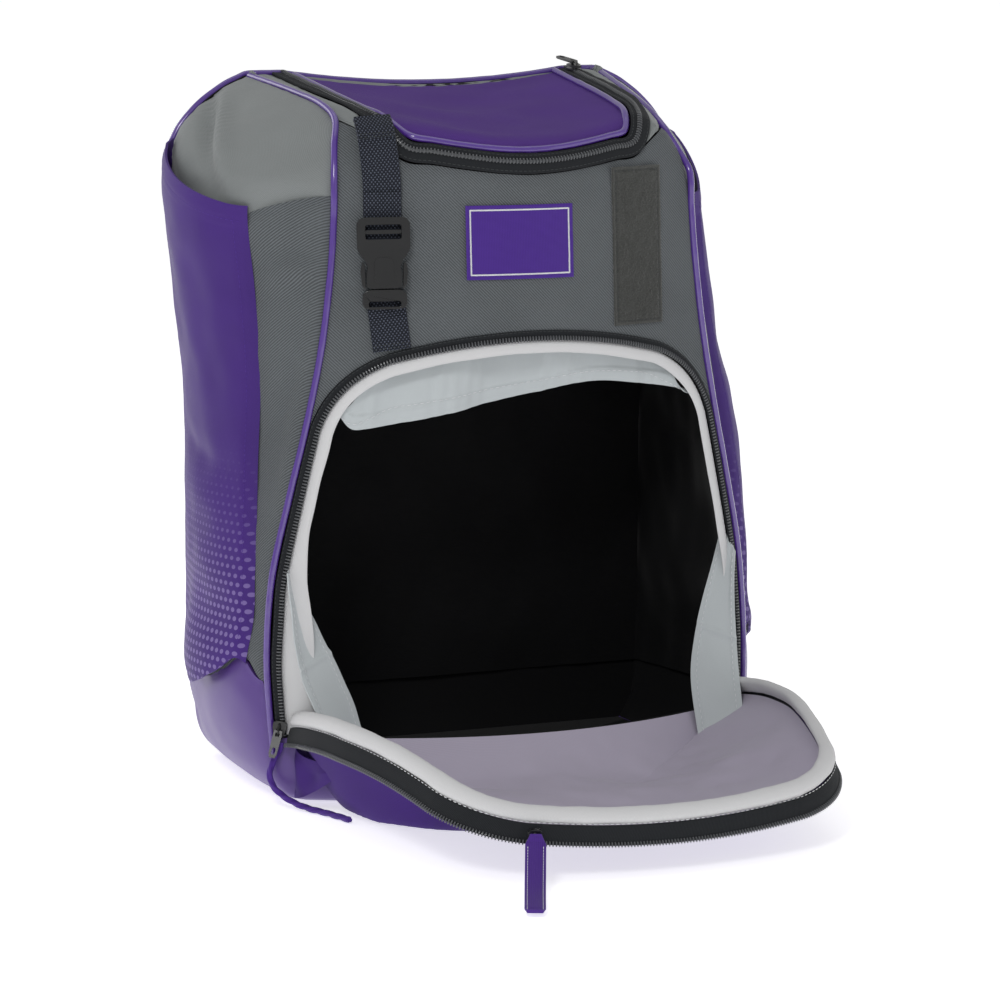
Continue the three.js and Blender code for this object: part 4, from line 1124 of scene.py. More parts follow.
@dataclass(frozen=True)
class Seams:
    """The lines where the panels meet, on the form."""

    levels: tuple[float, ...] = (0.073, 0.129, 0.215, 0.322, 0.429, 0.536, 0.644, 0.751, 0.826, 0.876)
    shoulder: tuple[tuple[float, float], ...] = (
        (0.715, -0.3),
        (0.68, -0.17),
        (0.683, 0.04),
        (0.7, 0.36),
        (0.725, 0.7),
        (0.745, 0.94),
    )
    lid_sides: tuple[tuple[float, float], ...] = (
        (0.557, 0.963),
        (0.548, 0.6),
        (0.54, 0.3),
        (0.525, 0.0),
        (0.5, -0.22),
    )
    lid_front: tuple[tuple[float, float], ...] = ((0.44, 0.938), (0.36, 0.932), (0.24, 0.925), (0.12, 0.92))
    lid_middle: float = 0.918
    notch: tuple[float, float] = (0.52, -0.44)
    hinge: float = 0.048
    arch_corner: float = 0.246
    arch_crown: float = 0.306
    arch_half: float = 0.096
    crown_fall: float = 0.013
    arch_margin: float = 0.0072
    turn_in: float = 0.011
    turn_up: float = 0.034

    def front_seam(self, hand: int) -> Run:
        """Give a front seam, from above the foot to the back of the shoulder.

        Args:
            hand: -1 for the left and 1 for the right.

        Returns:
            The seam's run.
        """
        z = np.array(self.levels) * FORM.height
        x = FORM.widths(z)[:, 0]
        wall = np.stack([hand * x, FORM.front_y(x, z), z], -1)
        out = np.tile(unit(np.array([0.8 * hand, -0.6, 0.0])), (len(z), 1))
        over = np.array(self.shoulder)
        top = FORM.top(hand * over[:, 0] * FORM.half_width, over[:, 1] * FORM.top_reach)
        run = Run(np.concatenate([wall, top.at]), np.concatenate([out, top.out]))
        return run.smooth(2).respaced(160)

    def back_seam(self, hand: int) -> Run:
        """Give a back seam, from the foot up the corner to the top.

        Args:
            hand: -1 for the left and 1 for the right.

        Returns:
            The seam's run.
        """
        at = FORM.ring_point(np.full(60, 2.0 * hand), np.linspace(2.6, 14, 60))
        out = unit(np.stack([at[:, 0] / FORM.half_width, np.ones(60), ease(at[:, 2], 0.39, 0.44)], -1))
        return Run(at, out).smooth(3).respaced(160)

    def top_back(self) -> Run:
        """Give the seam across the back of the top, from left to right."""
        q = np.concatenate([np.linspace(-2, -3, 30), np.linspace(3, 2, 30)[1:]])
        at = FORM.ring_point(q, np.full(q.shape, 14.0))
        return Run.facing(at, unit(np.array([0.0, 1.0, 1.0]))).respaced(80)

    def lid_edge(self) -> Run:
        """Give the lid's edge, from the left back corner over the front to the right one."""
        sides, front = np.array(self.lid_sides), np.array(self.lid_front)
        halves = []
        for hand in (-1, 1):
            side = FORM.top(hand * sides[:, 0] * FORM.half_width, sides[:, 1] * FORM.top_reach)
            lip = FORM.front(hand * front[:, 0] * FORM.half_width, front[:, 1] * FORM.height)
            halves.append((np.concatenate([side.at, lip.at]), np.concatenate([side.out, lip.out])))
        middle = FORM.front(0.0, self.lid_middle * FORM.height)
        at = np.concatenate([halves[0][0], middle.at[None], halves[1][0][::-1]])
        out = np.concatenate([halves[0][1], middle.out[None], halves[1][1][::-1]])
        return Run(at, out).smooth(3).respaced(220)

    def beside_lid(self, distance: float) -> Run:
        """Give a line round the lid, set back on the form.

        Args:
            distance: How far outside the lid's edge.

        Returns:
            The line's run.
        """
        edge = self.lid_edge()
        moved = edge.shifted(distance, 0.025)
        return FORM.cast(moved.at, -edge.out).smooth(12)

    def arch(self, margin: float, count: int = 260) -> Array:
        """Give the opening's arch across and up, from its left foot to its right foot.

        Args:
            margin: How far it is moved out.
            count: How many points it gets.

        Returns:
            Its points.
        """
        z = np.linspace(self.hinge, self.arch_corner, 40)
        side = np.stack([FORM.widths(z)[:, 0] - self.arch_margin, z], 1)
        crown_x = np.linspace(self.arch_half, 0, 30)
        crown = np.stack([crown_x, self.arch_crown - self.crown_fall * (crown_x / self.arch_half) ** 2], 1)
        bend = side[-1] + [-self.turn_in, self.turn_up]
        t = np.linspace(0, 1, 26)[1:-1, None]
        turn = side[-1] * (1 - t) ** 2 + 2 * bend * t * (1 - t) + crown[0] * t**2
        right = np.concatenate([side, turn, crown])
        path = np.concatenate([right * [-1, 1], right[-2::-1]])
        path = evenly(path, count)
        along = unit(np.gradient(path, axis=0))
        return path + np.stack([-along[:, 1], along[:, 0]], 1) * margin

    def arch_run(self, margin: float, depth: float = 0.0, count: int = 260) -> Run:
        """Give the arch on the front face.

        Args:
            margin: How far it is moved out.
            depth: How far it is set back.
            count: How many points it gets.

        Returns:
            The arch's run.
        """
        path = self.arch(margin, count)
        run = FORM.front_run(path[:, 0], path[:, 1])
        return Run(run.at - run.out * depth, run.out)


SEAMS = Seams()
PIPING_RADIUS = 0.0023
ZIP_HALF = 0.0065
LID_ZIP_LINE = PIPING_RADIUS + 0.001 + ZIP_HALF
LID_ZIP_EDGE = PIPING_RADIUS + 2 * ZIP_HALF + 0.001


def ruled(first: Array, last: Array, columns: int) -> Array:
    """Fill the space between two lines of as many points, with a row for each point."""
    share = np.linspace(0, 1, columns)[None, :, None]
    return first[:, None] * (1 - share) + last[:, None] * share


@dataclass(frozen=True)
class Studio:
    """The camera, the floor and the lights."""

    position: Point = (-1.1755, -2.6567, 0.6990)
    azimuth: float = -24.095
    elevation: float = 10.034
    roll: float = 1.016
    focal: float = 4.36537
    sensor: float = 36.0
    floor_size: float = 40.0
    floor_glow: float = 0.64
    sky: float = 0.42
    heart: Point = (0.0, -0.03, 0.2)
    lamps: tuple[tuple[str, Point, float, float], ...] = (
        ("key", (-1.3, -1.7, 1.7), 0.5, 16),
        ("fill", (1.8, -1.5, 1.0), 1.2, 3),
        ("rim", (-1.4, 1.5, 1.3), 1.2, 8),
        ("over", (0.1, 0.2, 2.2), 1.6, 5),
    )

    def camera(self) -> None:
        """Set the camera where the photograph was taken from."""
        a, e, roll = (math.radians(v) for v in (self.azimuth, self.elevation, self.roll))
        back = Vector((math.sin(a) * math.cos(e), -math.cos(a) * math.cos(e), math.sin(e)))
        level = Vector((math.cos(a), math.sin(a), 0.0))
        rise = back.cross(level)
        right = level * math.cos(roll) + rise * math.sin(roll)
        up = -level * math.sin(roll) + rise * math.cos(roll)
        data = bpy.data.cameras.new("camera")
        data.sensor_width = self.sensor
        data.lens = self.sensor * self.focal
        data.clip_end = 100.0
        camera = bpy.data.objects.new("camera", data)
        columns = Matrix((right, up, back)).transposed().to_4x4()
        camera.matrix_world = Matrix.Translation(self.position) @ columns
        bpy.context.scene.collection.objects.link(camera)
        bpy.context.scene.camera = camera

    def floor(self) -> None:
        """Lay the pale floor."""
        half = self.floor_size / 2
        corners = [(-half, -half, 0), (half, -half, 0), (half, half, 0), (-half, half, 0)]
        mesh = bpy.data.meshes.new("studio_floor")
        mesh.from_pydata(corners, [], [(0, 1, 2, 3)])
        graph = Graph("pale floor")
        place = graph.node("ShaderNodeTexCoord", {}, {}).outputs["Object"]
        grain = graph.noise(place, 0.4, 3.0)
        colour = graph.mix(grain, (0.88, 0.88, 0.885, 1.0), (0.92, 0.92, 0.925, 1.0))
        inputs = {
            "Base Color": colour,
            "Roughness": 0.9,
            "Emission Color": (1.0, 1.0, 1.0, 1.0),
            "Emission Strength": self.floor_glow,
        }
        shader = graph.node("ShaderNodeBsdfPrincipled", {}, inputs)
        graph.node("ShaderNodeOutputMaterial", {}, {"Surface": shader.outputs[0]})
        mesh.materials.append(graph.material)
        floor = bpy.data.objects.new("studio_floor", mesh)
        bpy.context.scene.collection.objects.link(floor)

    def light(self, name: str, at: Point, size: float, power: float) -> None:
        """Hang a soft light that faces the bag.

        Args:
            name: Its name.
            at: Where it hangs.
            size: Its width in metres.
            power: Its power in watts.
        """
        data = bpy.data.lights.new(name, "AREA")
        data.shape, data.size, data.energy = "SQUARE", size, power
        lamp = bpy.data.objects.new(name, data)
        lamp.location = at
        lamp.rotation_euler = (Vector(self.heart) - Vector(at)).to_track_quat("-Z", "Y").to_euler()
        bpy.context.scene.collection.objects.link(lamp)

    def build(self) -> None:
        """Set up the whole studio."""
        self.camera()
        self.floor()
        for name, at, size, power in self.lamps:
            self.light(name, at, size, power)
        world = bpy.data.worlds.new("studio")
        world.use_nodes = True
        background = world.node_tree.nodes["Background"].inputs
        background[0].default_value = (1.0, 1.0, 1.0, 1.0)
        background[1].default_value = self.sky
        bpy.context.scene.world = world
        bpy.context.scene.view_settings.view_transform = "Standard"


@dataclass(frozen=True)
class CornerCord:
    """The twisted pull cord at the left corner, from its slider to the door's pouch."""

    diameter: float = 0.0045
    strands: int = 3
    lay_length: float = 0.011
    sides: int = 24
    route: tuple[Point, ...] = (
        (-168.8, -63, 44.4),
        (-170.2, -62.7, 39.4),
        (-172.4, -62.3, 34.6),
        (-174.8, -62, 29.8),
        (-176.3, -62.1, 24.8),
        (-176.2, -62.8, 19.6),
        (-174.2, -64.2, 14.8),
        (-170.6, -66.4, 10.6),
        (-166, -69.8, 7),
        (-161.6, -74.4, 4.6),
        (-157.4, -80, 3.2),
        (-153.4, -86.6, 2.6),
        (-150, -94, 2.6),
        (-147.2, -101.6, 2.6),
        (-144.6, -109.4, 2.6),
        (-142, -117, 2.6),
    )

    def build(self) -> None:
        line = curve(np.array(self.route) * MM, 150)
        run = Run.facing(line, (1.0, 0.0, 0.0))
        turn = np.arange(self.sides) * FULL_TURN / self.sides
        twist = lengths(line)[:, None] / self.lay_length * FULL_TURN / self.strands
        lobes = np.abs(np.cos(self.strands / 2 * (turn[None] - twist)))
        radius = self.diameter / 2 * (0.7 + 0.3 * lobes)
        outline = np.stack([np.cos(turn) * radius, np.sin(turn) * radius], -1)
        cord = show("pull_cord", run.band(outline), PURPLE_THREAD, "corner_cord", sharp=80)


@dataclass(frozen=True)
class Boot:
    """The coated, moulded lower shell with its wavy upper edge."""

    wall: float = 0.0024
    rows: int = 44
    columns: int = 320
    lip: float = 0.046
    off_seam: float = 1e-6
    floor_wall: float = 0.0022
    foot: tuple[tuple[float, ...], ...] = (
        (0, 0.13, 0.24, 0.12),
        (0.0042, 0.065, 0.12, 0.06),
        (0.0149, 0.018, 0.035, 0.015),
        (0.0326, 0, 0, 0),
        (0.08, 0, 0, 0),
    )
    folds: tuple[Fold, ...] = (
        Fold(((-196, -20, 78), (-193, -45, 66), (-182, -58, 44)), 9, 2.2),
        Fold(((-192, -34, 88), (-186, -52, 74), (-178, -60, 60)), 8, -1.6),
        Fold(((-190, 20, 30), (-188, -10, 24), (-180, -40, 22)), 9, 1.2),
        Fold(((-184, 70, 110), (-188, 66, 70), (-184, 60, 36)), 26, 5.5),
        Fold(((-184, 84, 50), (-180, 88, 36), (-176, 80, 22)), 10, -2.0),
    )

    def footed(self, x: Array, y: Array, z: Array) -> Array:
        """Draw places in at the rounded foot and give them as points."""
        wide, fore, aft = np.moveaxis(read(self.foot, z), -1, 0)
        return np.stack([x * (1 - wide), y * (1 - np.where(y < 0, fore, aft)), z], -1)

    def cloth(self) -> Cloth:
        """Give the boot's outer face."""
        q = np.linspace(-3, 3, self.columns + 1)[:-1] + self.off_seam
        up = np.linspace(0, 1, self.rows) ** 1.15
        top_y = FORM.plan(q, np.full(q.shape, 0.09))[1]
        edge = self.lip + (FORM.boot_top(top_y) - self.lip) * ease(np.abs(q), 0.985, 1.004)
        z = up[:, None] * edge[None]
        x, y = FORM.plan(np.broadcast_to(q, z.shape), z)
        return Cloth(self.footed(x, y, z), (0.0, 0.0, 0.06), True)

    def build(self) -> None:
        """Make the boot and its floor."""
        cloth = self.cloth()
        height = np.zeros(cloth.points.shape[:2])
        for fold in self.folds:
            height += fold.rise(cloth.points)
        share = np.linspace(0, 1, self.rows)[:, None]
        hold = ease(share, 0.0, 0.25)
        height += 0.7 * MM * hold * ripple(cloth.points, 70 * MM, 11)
        height -= 1.0 * MM * np.exp(-(((1 - share) * 16) ** 2))
        draped = cloth.lifted(height * hold)
        solid = draped.solid(self.wall, "yz")
        inner = cloth.points[0]
        rings = [inner * [k, k, 1.0] for k in (1.0, 0.85, 0.5, 0.003)]
        floor = Cloth(np.array(rings) + [0, 0, 0.00002], (0.0, 0.0, 1.0), True)
        solid.join(floor.solid(-self.floor_wall, "xy"))
        show("boot_shell", solid, BOOT, "base_boot")


@dataclass(frozen=True)
class SidePanels:
    """The gussets under the sleeves, twill below and soft grey over the shoulders."""

    wall: float = 0.0022
    split_front: float = 0.396
    split_back: float = 0.312
    rows: int = 130
    columns: int = 64
    seam_y: float = -0.052
    over_top: float = 9.0
    lower_folds: tuple[Fold, ...] = (
        Fold(((-150, -50, 340), (-158, -48, 260), (-168, -44, 180)), 7, 2.6),
        Fold(((-140, -52, 350), (-152, -36, 352), (-170, -20, 342)), 8, 2.8),
        Fold(((-160, -58, 230), (-166, -54, 180), (-172, -50, 100)), 6, 2.2),
    )
    upper_folds: tuple[Fold, ...] = (
        Fold(((-170, 4, 392), (-155, 46, 422), (-134, 98, 438)), 8, 5.0),
        Fold(((-177, 20, 396), (-154, 76, 430), (-141, 108, 446)), 7, -6.5),
        Fold(((-186, 50, 388), (-176, 84, 418), (-160, 104, 440)), 13, 3.5),
        Fold(((-132, -44, 401), (-150, -22, 393), (-166, 0, 384)), 5, -2.2),
        Fold(((-134, -40, 414), (-154, -14, 405), (-168, 6, 396)), 9, 2.4),
    )

    def border(self, run: Run, low: float, high: float) -> Array:
        """Cut a seam between two heights.

        Args:
            run: The seam.
            low: The lower height.
            high: The upper height, or above the seam's top for all of it.

        Returns:
            The evenly spaced part.
        """
        z = run.at[:, 2]
        start = int(np.argmax(z >= low))
        over = np.nonzero(z >= high)[0]
        stop = int(over[0]) + 1 if len(over) else len(z)
        return evenly(run.at[start:stop], self.rows)

    def seated(self, folds: Sequence[Fold]) -> tuple[Fold, ...]:
        """Move the folds' paths onto the form."""
        moved = []
        for fold in folds:
            path = FORM.wrap(curve(fold.path, 16)[None] * MM)[0] / MM
            moved.append(replace(fold, path=tuple(map(tuple, path))))
        return tuple(moved)

    def panel(self, hand: int, low: tuple[float, float], high: tuple[float, float], drape: Drape) -> Solid:
        """Make one panel of a side.

        Args:
            hand: -1 for the left and 1 for the right.
            low: The heights that it starts from at the front and the back seam.
            high: The heights that it reaches there.
            drape: How it hangs.

        Returns:
            The panel.
        """
        front = self.border(SEAMS.front_seam(hand), low[0], high[0])
        back = self.border(SEAMS.back_seam(hand), low[1], high[1])
        grid = ruled(front, back, self.columns)
        if low[0] < 0.2:
            share = (1 - np.linspace(0, 1, self.rows)) ** 3
            y = grid[0, :, 1]
            lift = FORM.boot_top(y) - grid[0, :, 2]
            grid[:, :, 2] += share[:, None] * lift[None]
        return Cloth(FORM.wrap(grid)).draped(drape).solid(self.wall, "yz")

    def build(self) -> None:
        """Make both sides, with creases in the left one."""
        low = (float(FORM.boot_top(np.array(self.seam_y))), FORM.boot_height)
        split = (self.split_front, self.split_back)
        for hand, side in HANDS:
            lower, upper = (self.lower_folds, self.upper_folds) if hand < 0 else ((), ())
            low_drape = Drape(0.9, 70, seed=21 + hand, folds=self.seated(lower))
            top_drape = Drape(1.1, 55, seed=31 + hand, folds=self.seated(upper))
            node = f"side_panel_{side}"
            show(f"side_twill_{side}", self.panel(hand, low, split, low_drape), TWILL, node)
            shoulder = self.panel(hand, split, (self.over_top, self.over_top), top_drape)
            show(f"side_shoulder_{side}", shoulder, GREY, node)


@dataclass(frozen=True)
class FrontPanel:
    """The twill front above and beside the arched opening."""

    wall: float = 0.0022
    columns: int = 250
    rows: int = 40
    middle: float = 0.215
    zip_side: float = 0.0052

    def outer(self) -> Array:
        """Give the panel's outer border from the left foot over the top to the right foot."""
        lid = SEAMS.beside_lid(LID_ZIP_EDGE).at
        front = lid[(lid[:, 1] < -0.05)]
        halves = []
        for hand in (-1, 1):
            seam = SEAMS.front_seam(hand).at
            reach = (seam[:, 2] > 0.15) & (seam[:, 1] < SEAMS.shoulder[1][1] * FORM.top_reach)
            halves.append(seam[reach])
        return np.concatenate([halves[0], front, halves[1][::-1]])

    def build(self) -> None:
        """Fill the space between the arch and the outer border."""
        inner = SEAMS.arch_run(self.zip_side).at
        outer = self.outer()
        angle = np.linspace(math.radians(188), math.radians(-8), self.columns)
        lines = []
        for line in (inner, outer):
            turn = np.arctan2(line[:, 2] - self.middle, line[:, 0])
            turn = np.where(turn < -math.pi / 2, turn + FULL_TURN, turn)
            order = np.argsort(turn)
            lines.append(sampled(angle, turn[order], line[order]))
        grid = ruled(lines[0], lines[1], self.rows)
        grid = FORM.wrap(grid)
        folds = (
            Fold(((-70, -80, 392), (0, -84, 398), (60, -80, 392)), 12, 1.4),
            Fold(((30, -84, 330), (0, -88, 322), (-60, -84, 316)), 10, 1.2),
            Fold(((110, -58, 300), (118, -52, 350), (112, -52, 400)), 9, -1.4),
        )
        drape = Drape(0.8, 80, 1.0, 4.0, 0.2, 41, folds)
        show("front_twill", Cloth(grid).draped(drape).solid(self.wall), TWILL, "front_panel")


@dataclass(frozen=True)
class Top:
    """The lid and the grey yoke round it; the lid's piping is sewn in by the pipings."""

    wall: float = 0.0022
    lid_rows: int = 96
    lid_columns: int = 80
    yoke_rows: int = 240
    yoke_columns: int = 22

    def lid(self) -> None:
        """Make the sagging lid."""
        edge = SEAMS.lid_edge().at
        half = len(edge) // 2
        left, right = evenly(edge[: half + 1], self.lid_rows), evenly(edge[half:][::-1], self.lid_rows)
        left, right = left[:-1], right[:-1]
        grid = ruled(left, right, self.lid_columns)
        shaped = FORM.wrap(grid)
        folds = (
            Fold(((-80, 60, 452), (-30, 20, 440), (20, -20, 436)), 16, 1.5),
            Fold(((-70, -30, 442), (-20, -52, 434), (40, -60, 432)), 12, 1.3),
            Fold(((40, 70, 452), (56, 20, 446), (60, -30, 440)), 14, -1.2),
        )
        drape = Drape(1.1, 75, 1.2, 5.0, 0.25, 51, folds)
        show("lid_cloth", Cloth(shaped).draped(drape).solid(self.wall, "xy"), LID_PURPLE, "lid")

    def yoke(self) -> None:
        """Make the yoke round the lid's zip and behind the lid."""
        zip_edge = SEAMS.beside_lid(LID_ZIP_EDGE).at
        notch_y = SEAMS.notch[1] * FORM.top_reach
        first = int(np.argmax(zip_edge[:, 1] < notch_y))
        inner_left = zip_edge[:first][::-1]
        last = len(zip_edge) - int(np.argmax(zip_edge[::-1, 1] < notch_y))
        inner_right = zip_edge[last:][::-1]
        back_line = zip_edge[[0, -1]].copy()
        back_line[:, 1] += 0.002
        inner = np.concatenate([inner_left, evenly(back_line, 12), inner_right])
        seams = [SEAMS.front_seam(hand).at for hand in (-1, 1)]
        limit = SEAMS.shoulder[1][1] * FORM.top_reach
        tops = [seam[(seam[:, 1] > limit) & (seam[:, 2] > 0.4)] for seam in seams]
        outer = np.concatenate([tops[0], SEAMS.top_back().at, tops[1][::-1]])
        shares = np.array([0, 0.36, 0.64, 1])
        both = []
        for line, corners in (
            (inner, (len(inner_left), len(inner_left) + 12)),
            (outer, (len(tops[0]), len(tops[0]) + 80)),
        ):
            run = lengths(line)
            marks = run[[0, corners[0] - 1, corners[1] - 1, len(line) - 1]]
            at = np.interp(np.linspace(0, 1, self.yoke_rows), shares, marks)
            both.append(sampled(at, run, line))
        grid = FORM.wrap(ruled(both[0], both[1], self.yoke_columns))
        drape = Drape(0.9, 50, 1.3, 4.0, 0.25, 61)
        show("yoke_cloth", Cloth(grid).draped(drape).solid(self.wall, "xy"), GREY, "top_yoke")

    def build(self) -> None:
        """Make the lid and the yoke."""
        self.lid()
        self.yoke()


@dataclass(frozen=True)
class Pipings:
    """The glossy piping in the lid's edge and the front and back seams."""

    radius: float = PIPING_RADIUS
    sides: int = 14

    def pipe(self, name: str, run: Run, count: int, node: str) -> None:
        """Sew in a length of piping.

        Args:
            name: The piece's name.
            run: The seam.
            count: How many sections it gets.
            node: The frame's node that it stands for.
        """
        spaced = run.respaced(count)
        wobble = 1 + 0.035 * ripple(spaced.at, 14 * MM, 71)
        show(name, spaced.tube(self.radius * wobble, self.sides), PIPING, node)

    def build(self) -> None:
        """Sew in all the pipings."""
        self.pipe("piping_lid", SEAMS.lid_edge(), 420, "lid_piping")
        self.pipe("piping_left", SEAMS.front_seam(-1), 420, "seam_piping_left")
        self.pipe("piping_right", SEAMS.front_seam(1), 420, "seam_piping_right")
        left, right = (SEAMS.back_seam(hand).part(0.17, 1.0, 150) for hand in (-1, 1))
        over = SEAMS.top_back()
        at = np.concatenate([left.at, over.at[1:-1], right.at[::-1]])
        out = np.concatenate([left.out, over.out[1:-1], right.out[::-1]])
        self.pipe("piping_back", Run(at, out).smooth(8), 640, "back_piping")


@dataclass(frozen=True)
class Back:
    """The flat back panel with its padded channels."""

    wall: float = 0.0024
    rows: int = 110
    columns: int = 90

    def build(self) -> None:
        """Make the back panel."""
        seams = []
        for hand in (-1, 1):
            seam = SEAMS.back_seam(hand).at
            seams.append(evenly(seam[seam[:, 2] >= FORM.boot_height], self.rows))
        grid = FORM.wrap(ruled(seams[0], seams[1], self.columns))
        cloth = Cloth(grid)
        x, z = grid[..., 0], grid[..., 2]
        pad = ease(np.abs(x), 0.012, 0.022) * ease(np.abs(x), 0.135, 0.12)
        pad *= ease(z, 0.13, 0.145) * ease(z, 0.415, 0.4)
        channel = 1 - 0.6 * np.exp(-(((np.mod(z, 0.055) - 0.0275) / 0.005) ** 2))
        height = 0.0045 * pad * channel + Drape(0.4, 60, 1.0, 4.0, seed=81).height(cloth)
        show("back_cloth", cloth.lifted(height).solid(self.wall), BLACK, "back_panel")


def strip_outline(width: float, low: float, high: float, round_by: float = 0.0004) -> Array:
    """Give the section of a flat strip with softened corners, across and up, in metres."""
    half, r = width / 2, round_by
    corners = [(-half + r, low), (half - r, low), (half, low + r), (half, high - r)]
    return np.array([*corners, (half - r, high), (-half + r, high), (-half, high - r), (-half, low + r)])


@dataclass(frozen=True)
class Sleeve:
    """A bat sleeve, sewn to its side all round and open at the mouth."""

    hand: int
    wall: float = 0.0016
    bulge: float = 0.02
    dip: float = 0.003
    foot: float = 0.22
    mouth: float = 0.9
    mouth_rise: float = 0.073
    back_edge: float = 0.008
    hem: float = 0.013
    round_by: float = 0.6
    rows: int = 150
    columns: int = 70
    form: tuple[tuple[float, ...], ...] = (
        (0, -0.32, 0.35, 0.4),
        (0.15, -0.3, 0.5, 0.6),
        (0.45, -0.16, 0.6, 0.95),
        (0.75, -0.1, 0.62, 0.55),
        (1, -0.07, 0.5, 0.25),
    )
    left_folds: tuple[Fold, ...] = (
        Fold(((-196, 20, 390), (-200, 10, 340), (-196, 4, 290)), 13, 1.8),
        Fold(((-190, -4, 392), (-190, -4, 330), (-186, -8, 270)), 6, -1.2),
        Fold(((-206, 60, 360), (-204, 40, 300), (-196, 14, 236)), 14, 2.4),
        Fold(((-200, 84, 236), (-192, 40, 222), (-184, -6, 214)), 9, -3.0),
        Fold(((-196, 70, 206), (-192, 34, 196), (-186, -10, 186)), 12, 1.8),
        Fold(((-196, 50, 176), (-192, 10, 150), (-188, -20, 128)), 13, 1.3),
    )
    right_folds: tuple[Fold, ...] = (
        Fold(((170, 0, 390), (178, 4, 330), (184, 0, 280)), 10, 1.5),
        Fold(((186, 40, 300), (192, 20, 250), (190, -10, 200)), 13, 1.6),
    )

    def cloth(self) -> Cloth:
        """Give the sleeve's outer face, from its foot to its mouth."""
        level = np.linspace(0, 1, self.rows)[:, None]
        share = np.linspace(0, 1, self.columns)[None]
        reach = FORM.height * (self.foot + (self.mouth - self.foot) * level)
        edge, left, right = np.moveaxis(read(self.form, level), -1, 0)
        front = FORM.top_reach * edge
        y = front + (FORM.back_y(reach) - self.back_edge - front) * share
        swell = np.sin(np.pi * share) ** self.round_by
        foot = FORM.boot_top(y) + 0.0007 - 0.0044 * ease(share, 0.02, 0.14)
        brim = FORM.height * (self.mouth + 0.01 + self.mouth_rise * (share - 1)) - self.dip * swell
        z = foot + (brim - foot) * level
        at = FORM.side(self.hand, y, np.minimum(z, FORM.height * self.mouth)).at
        amount = right if self.hand > 0 else left
        seat = 0.0012 + 0.0027 * ease(np.minimum(share, 1 - share), 0.0, 0.06)
        x = at[..., 0] + self.hand * (seat + self.bulge * amount * swell)
        return Cloth(np.stack([x, y, z], -1))

    def build(self) -> None:
        """Make the sleeve with its folded mouth hem."""
        name = "left" if self.hand < 0 else "right"
        plain = self.cloth()
        sides = (Side.FIRST_ROW, Side.FIRST_COLUMN, Side.LAST_COLUMN)
        folds = self.left_folds if self.hand < 0 else self.right_folds
        drape = Drape(1.0, 65, 1.0, 4.0, 0.3, 91 + self.hand, folds, sides)
        from_mouth = plain.border((Side.LAST_ROW,))
        height = drape.height(plain) * ease(from_mouth, 0.0, 0.03)
        height += 0.0009 * (1 - ease(from_mouth, self.hem - 0.0008, self.hem + 0.0008))
        height -= 0.0006 * np.exp(-(((from_mouth - self.hem + 0.002) / 0.0012) ** 2))
        cloth = plain.lifted(height)
        show(f"sleeve_{name}", cloth.solid(self.wall, "yz"), SLEEVE_PURPLE, f"bat_sleeve_{name}")
        row = int(np.argmin(np.abs(from_mouth[:, self.columns // 2] - self.hem + 0.002)))
        run = Run(cloth.points[row, 2:-2], cloth.normals()[row, 2:-2])
        show(f"sleeve_stitches_{name}", stitches(run), PURPLE_THREAD)
        front = Run(cloth.points[6:-4, 3], cloth.normals()[6:-4, 3])
        show(f"sleeve_seam_{name}", stitches(front, 2.2, 1.0, 0.45), PURPLE_THREAD)


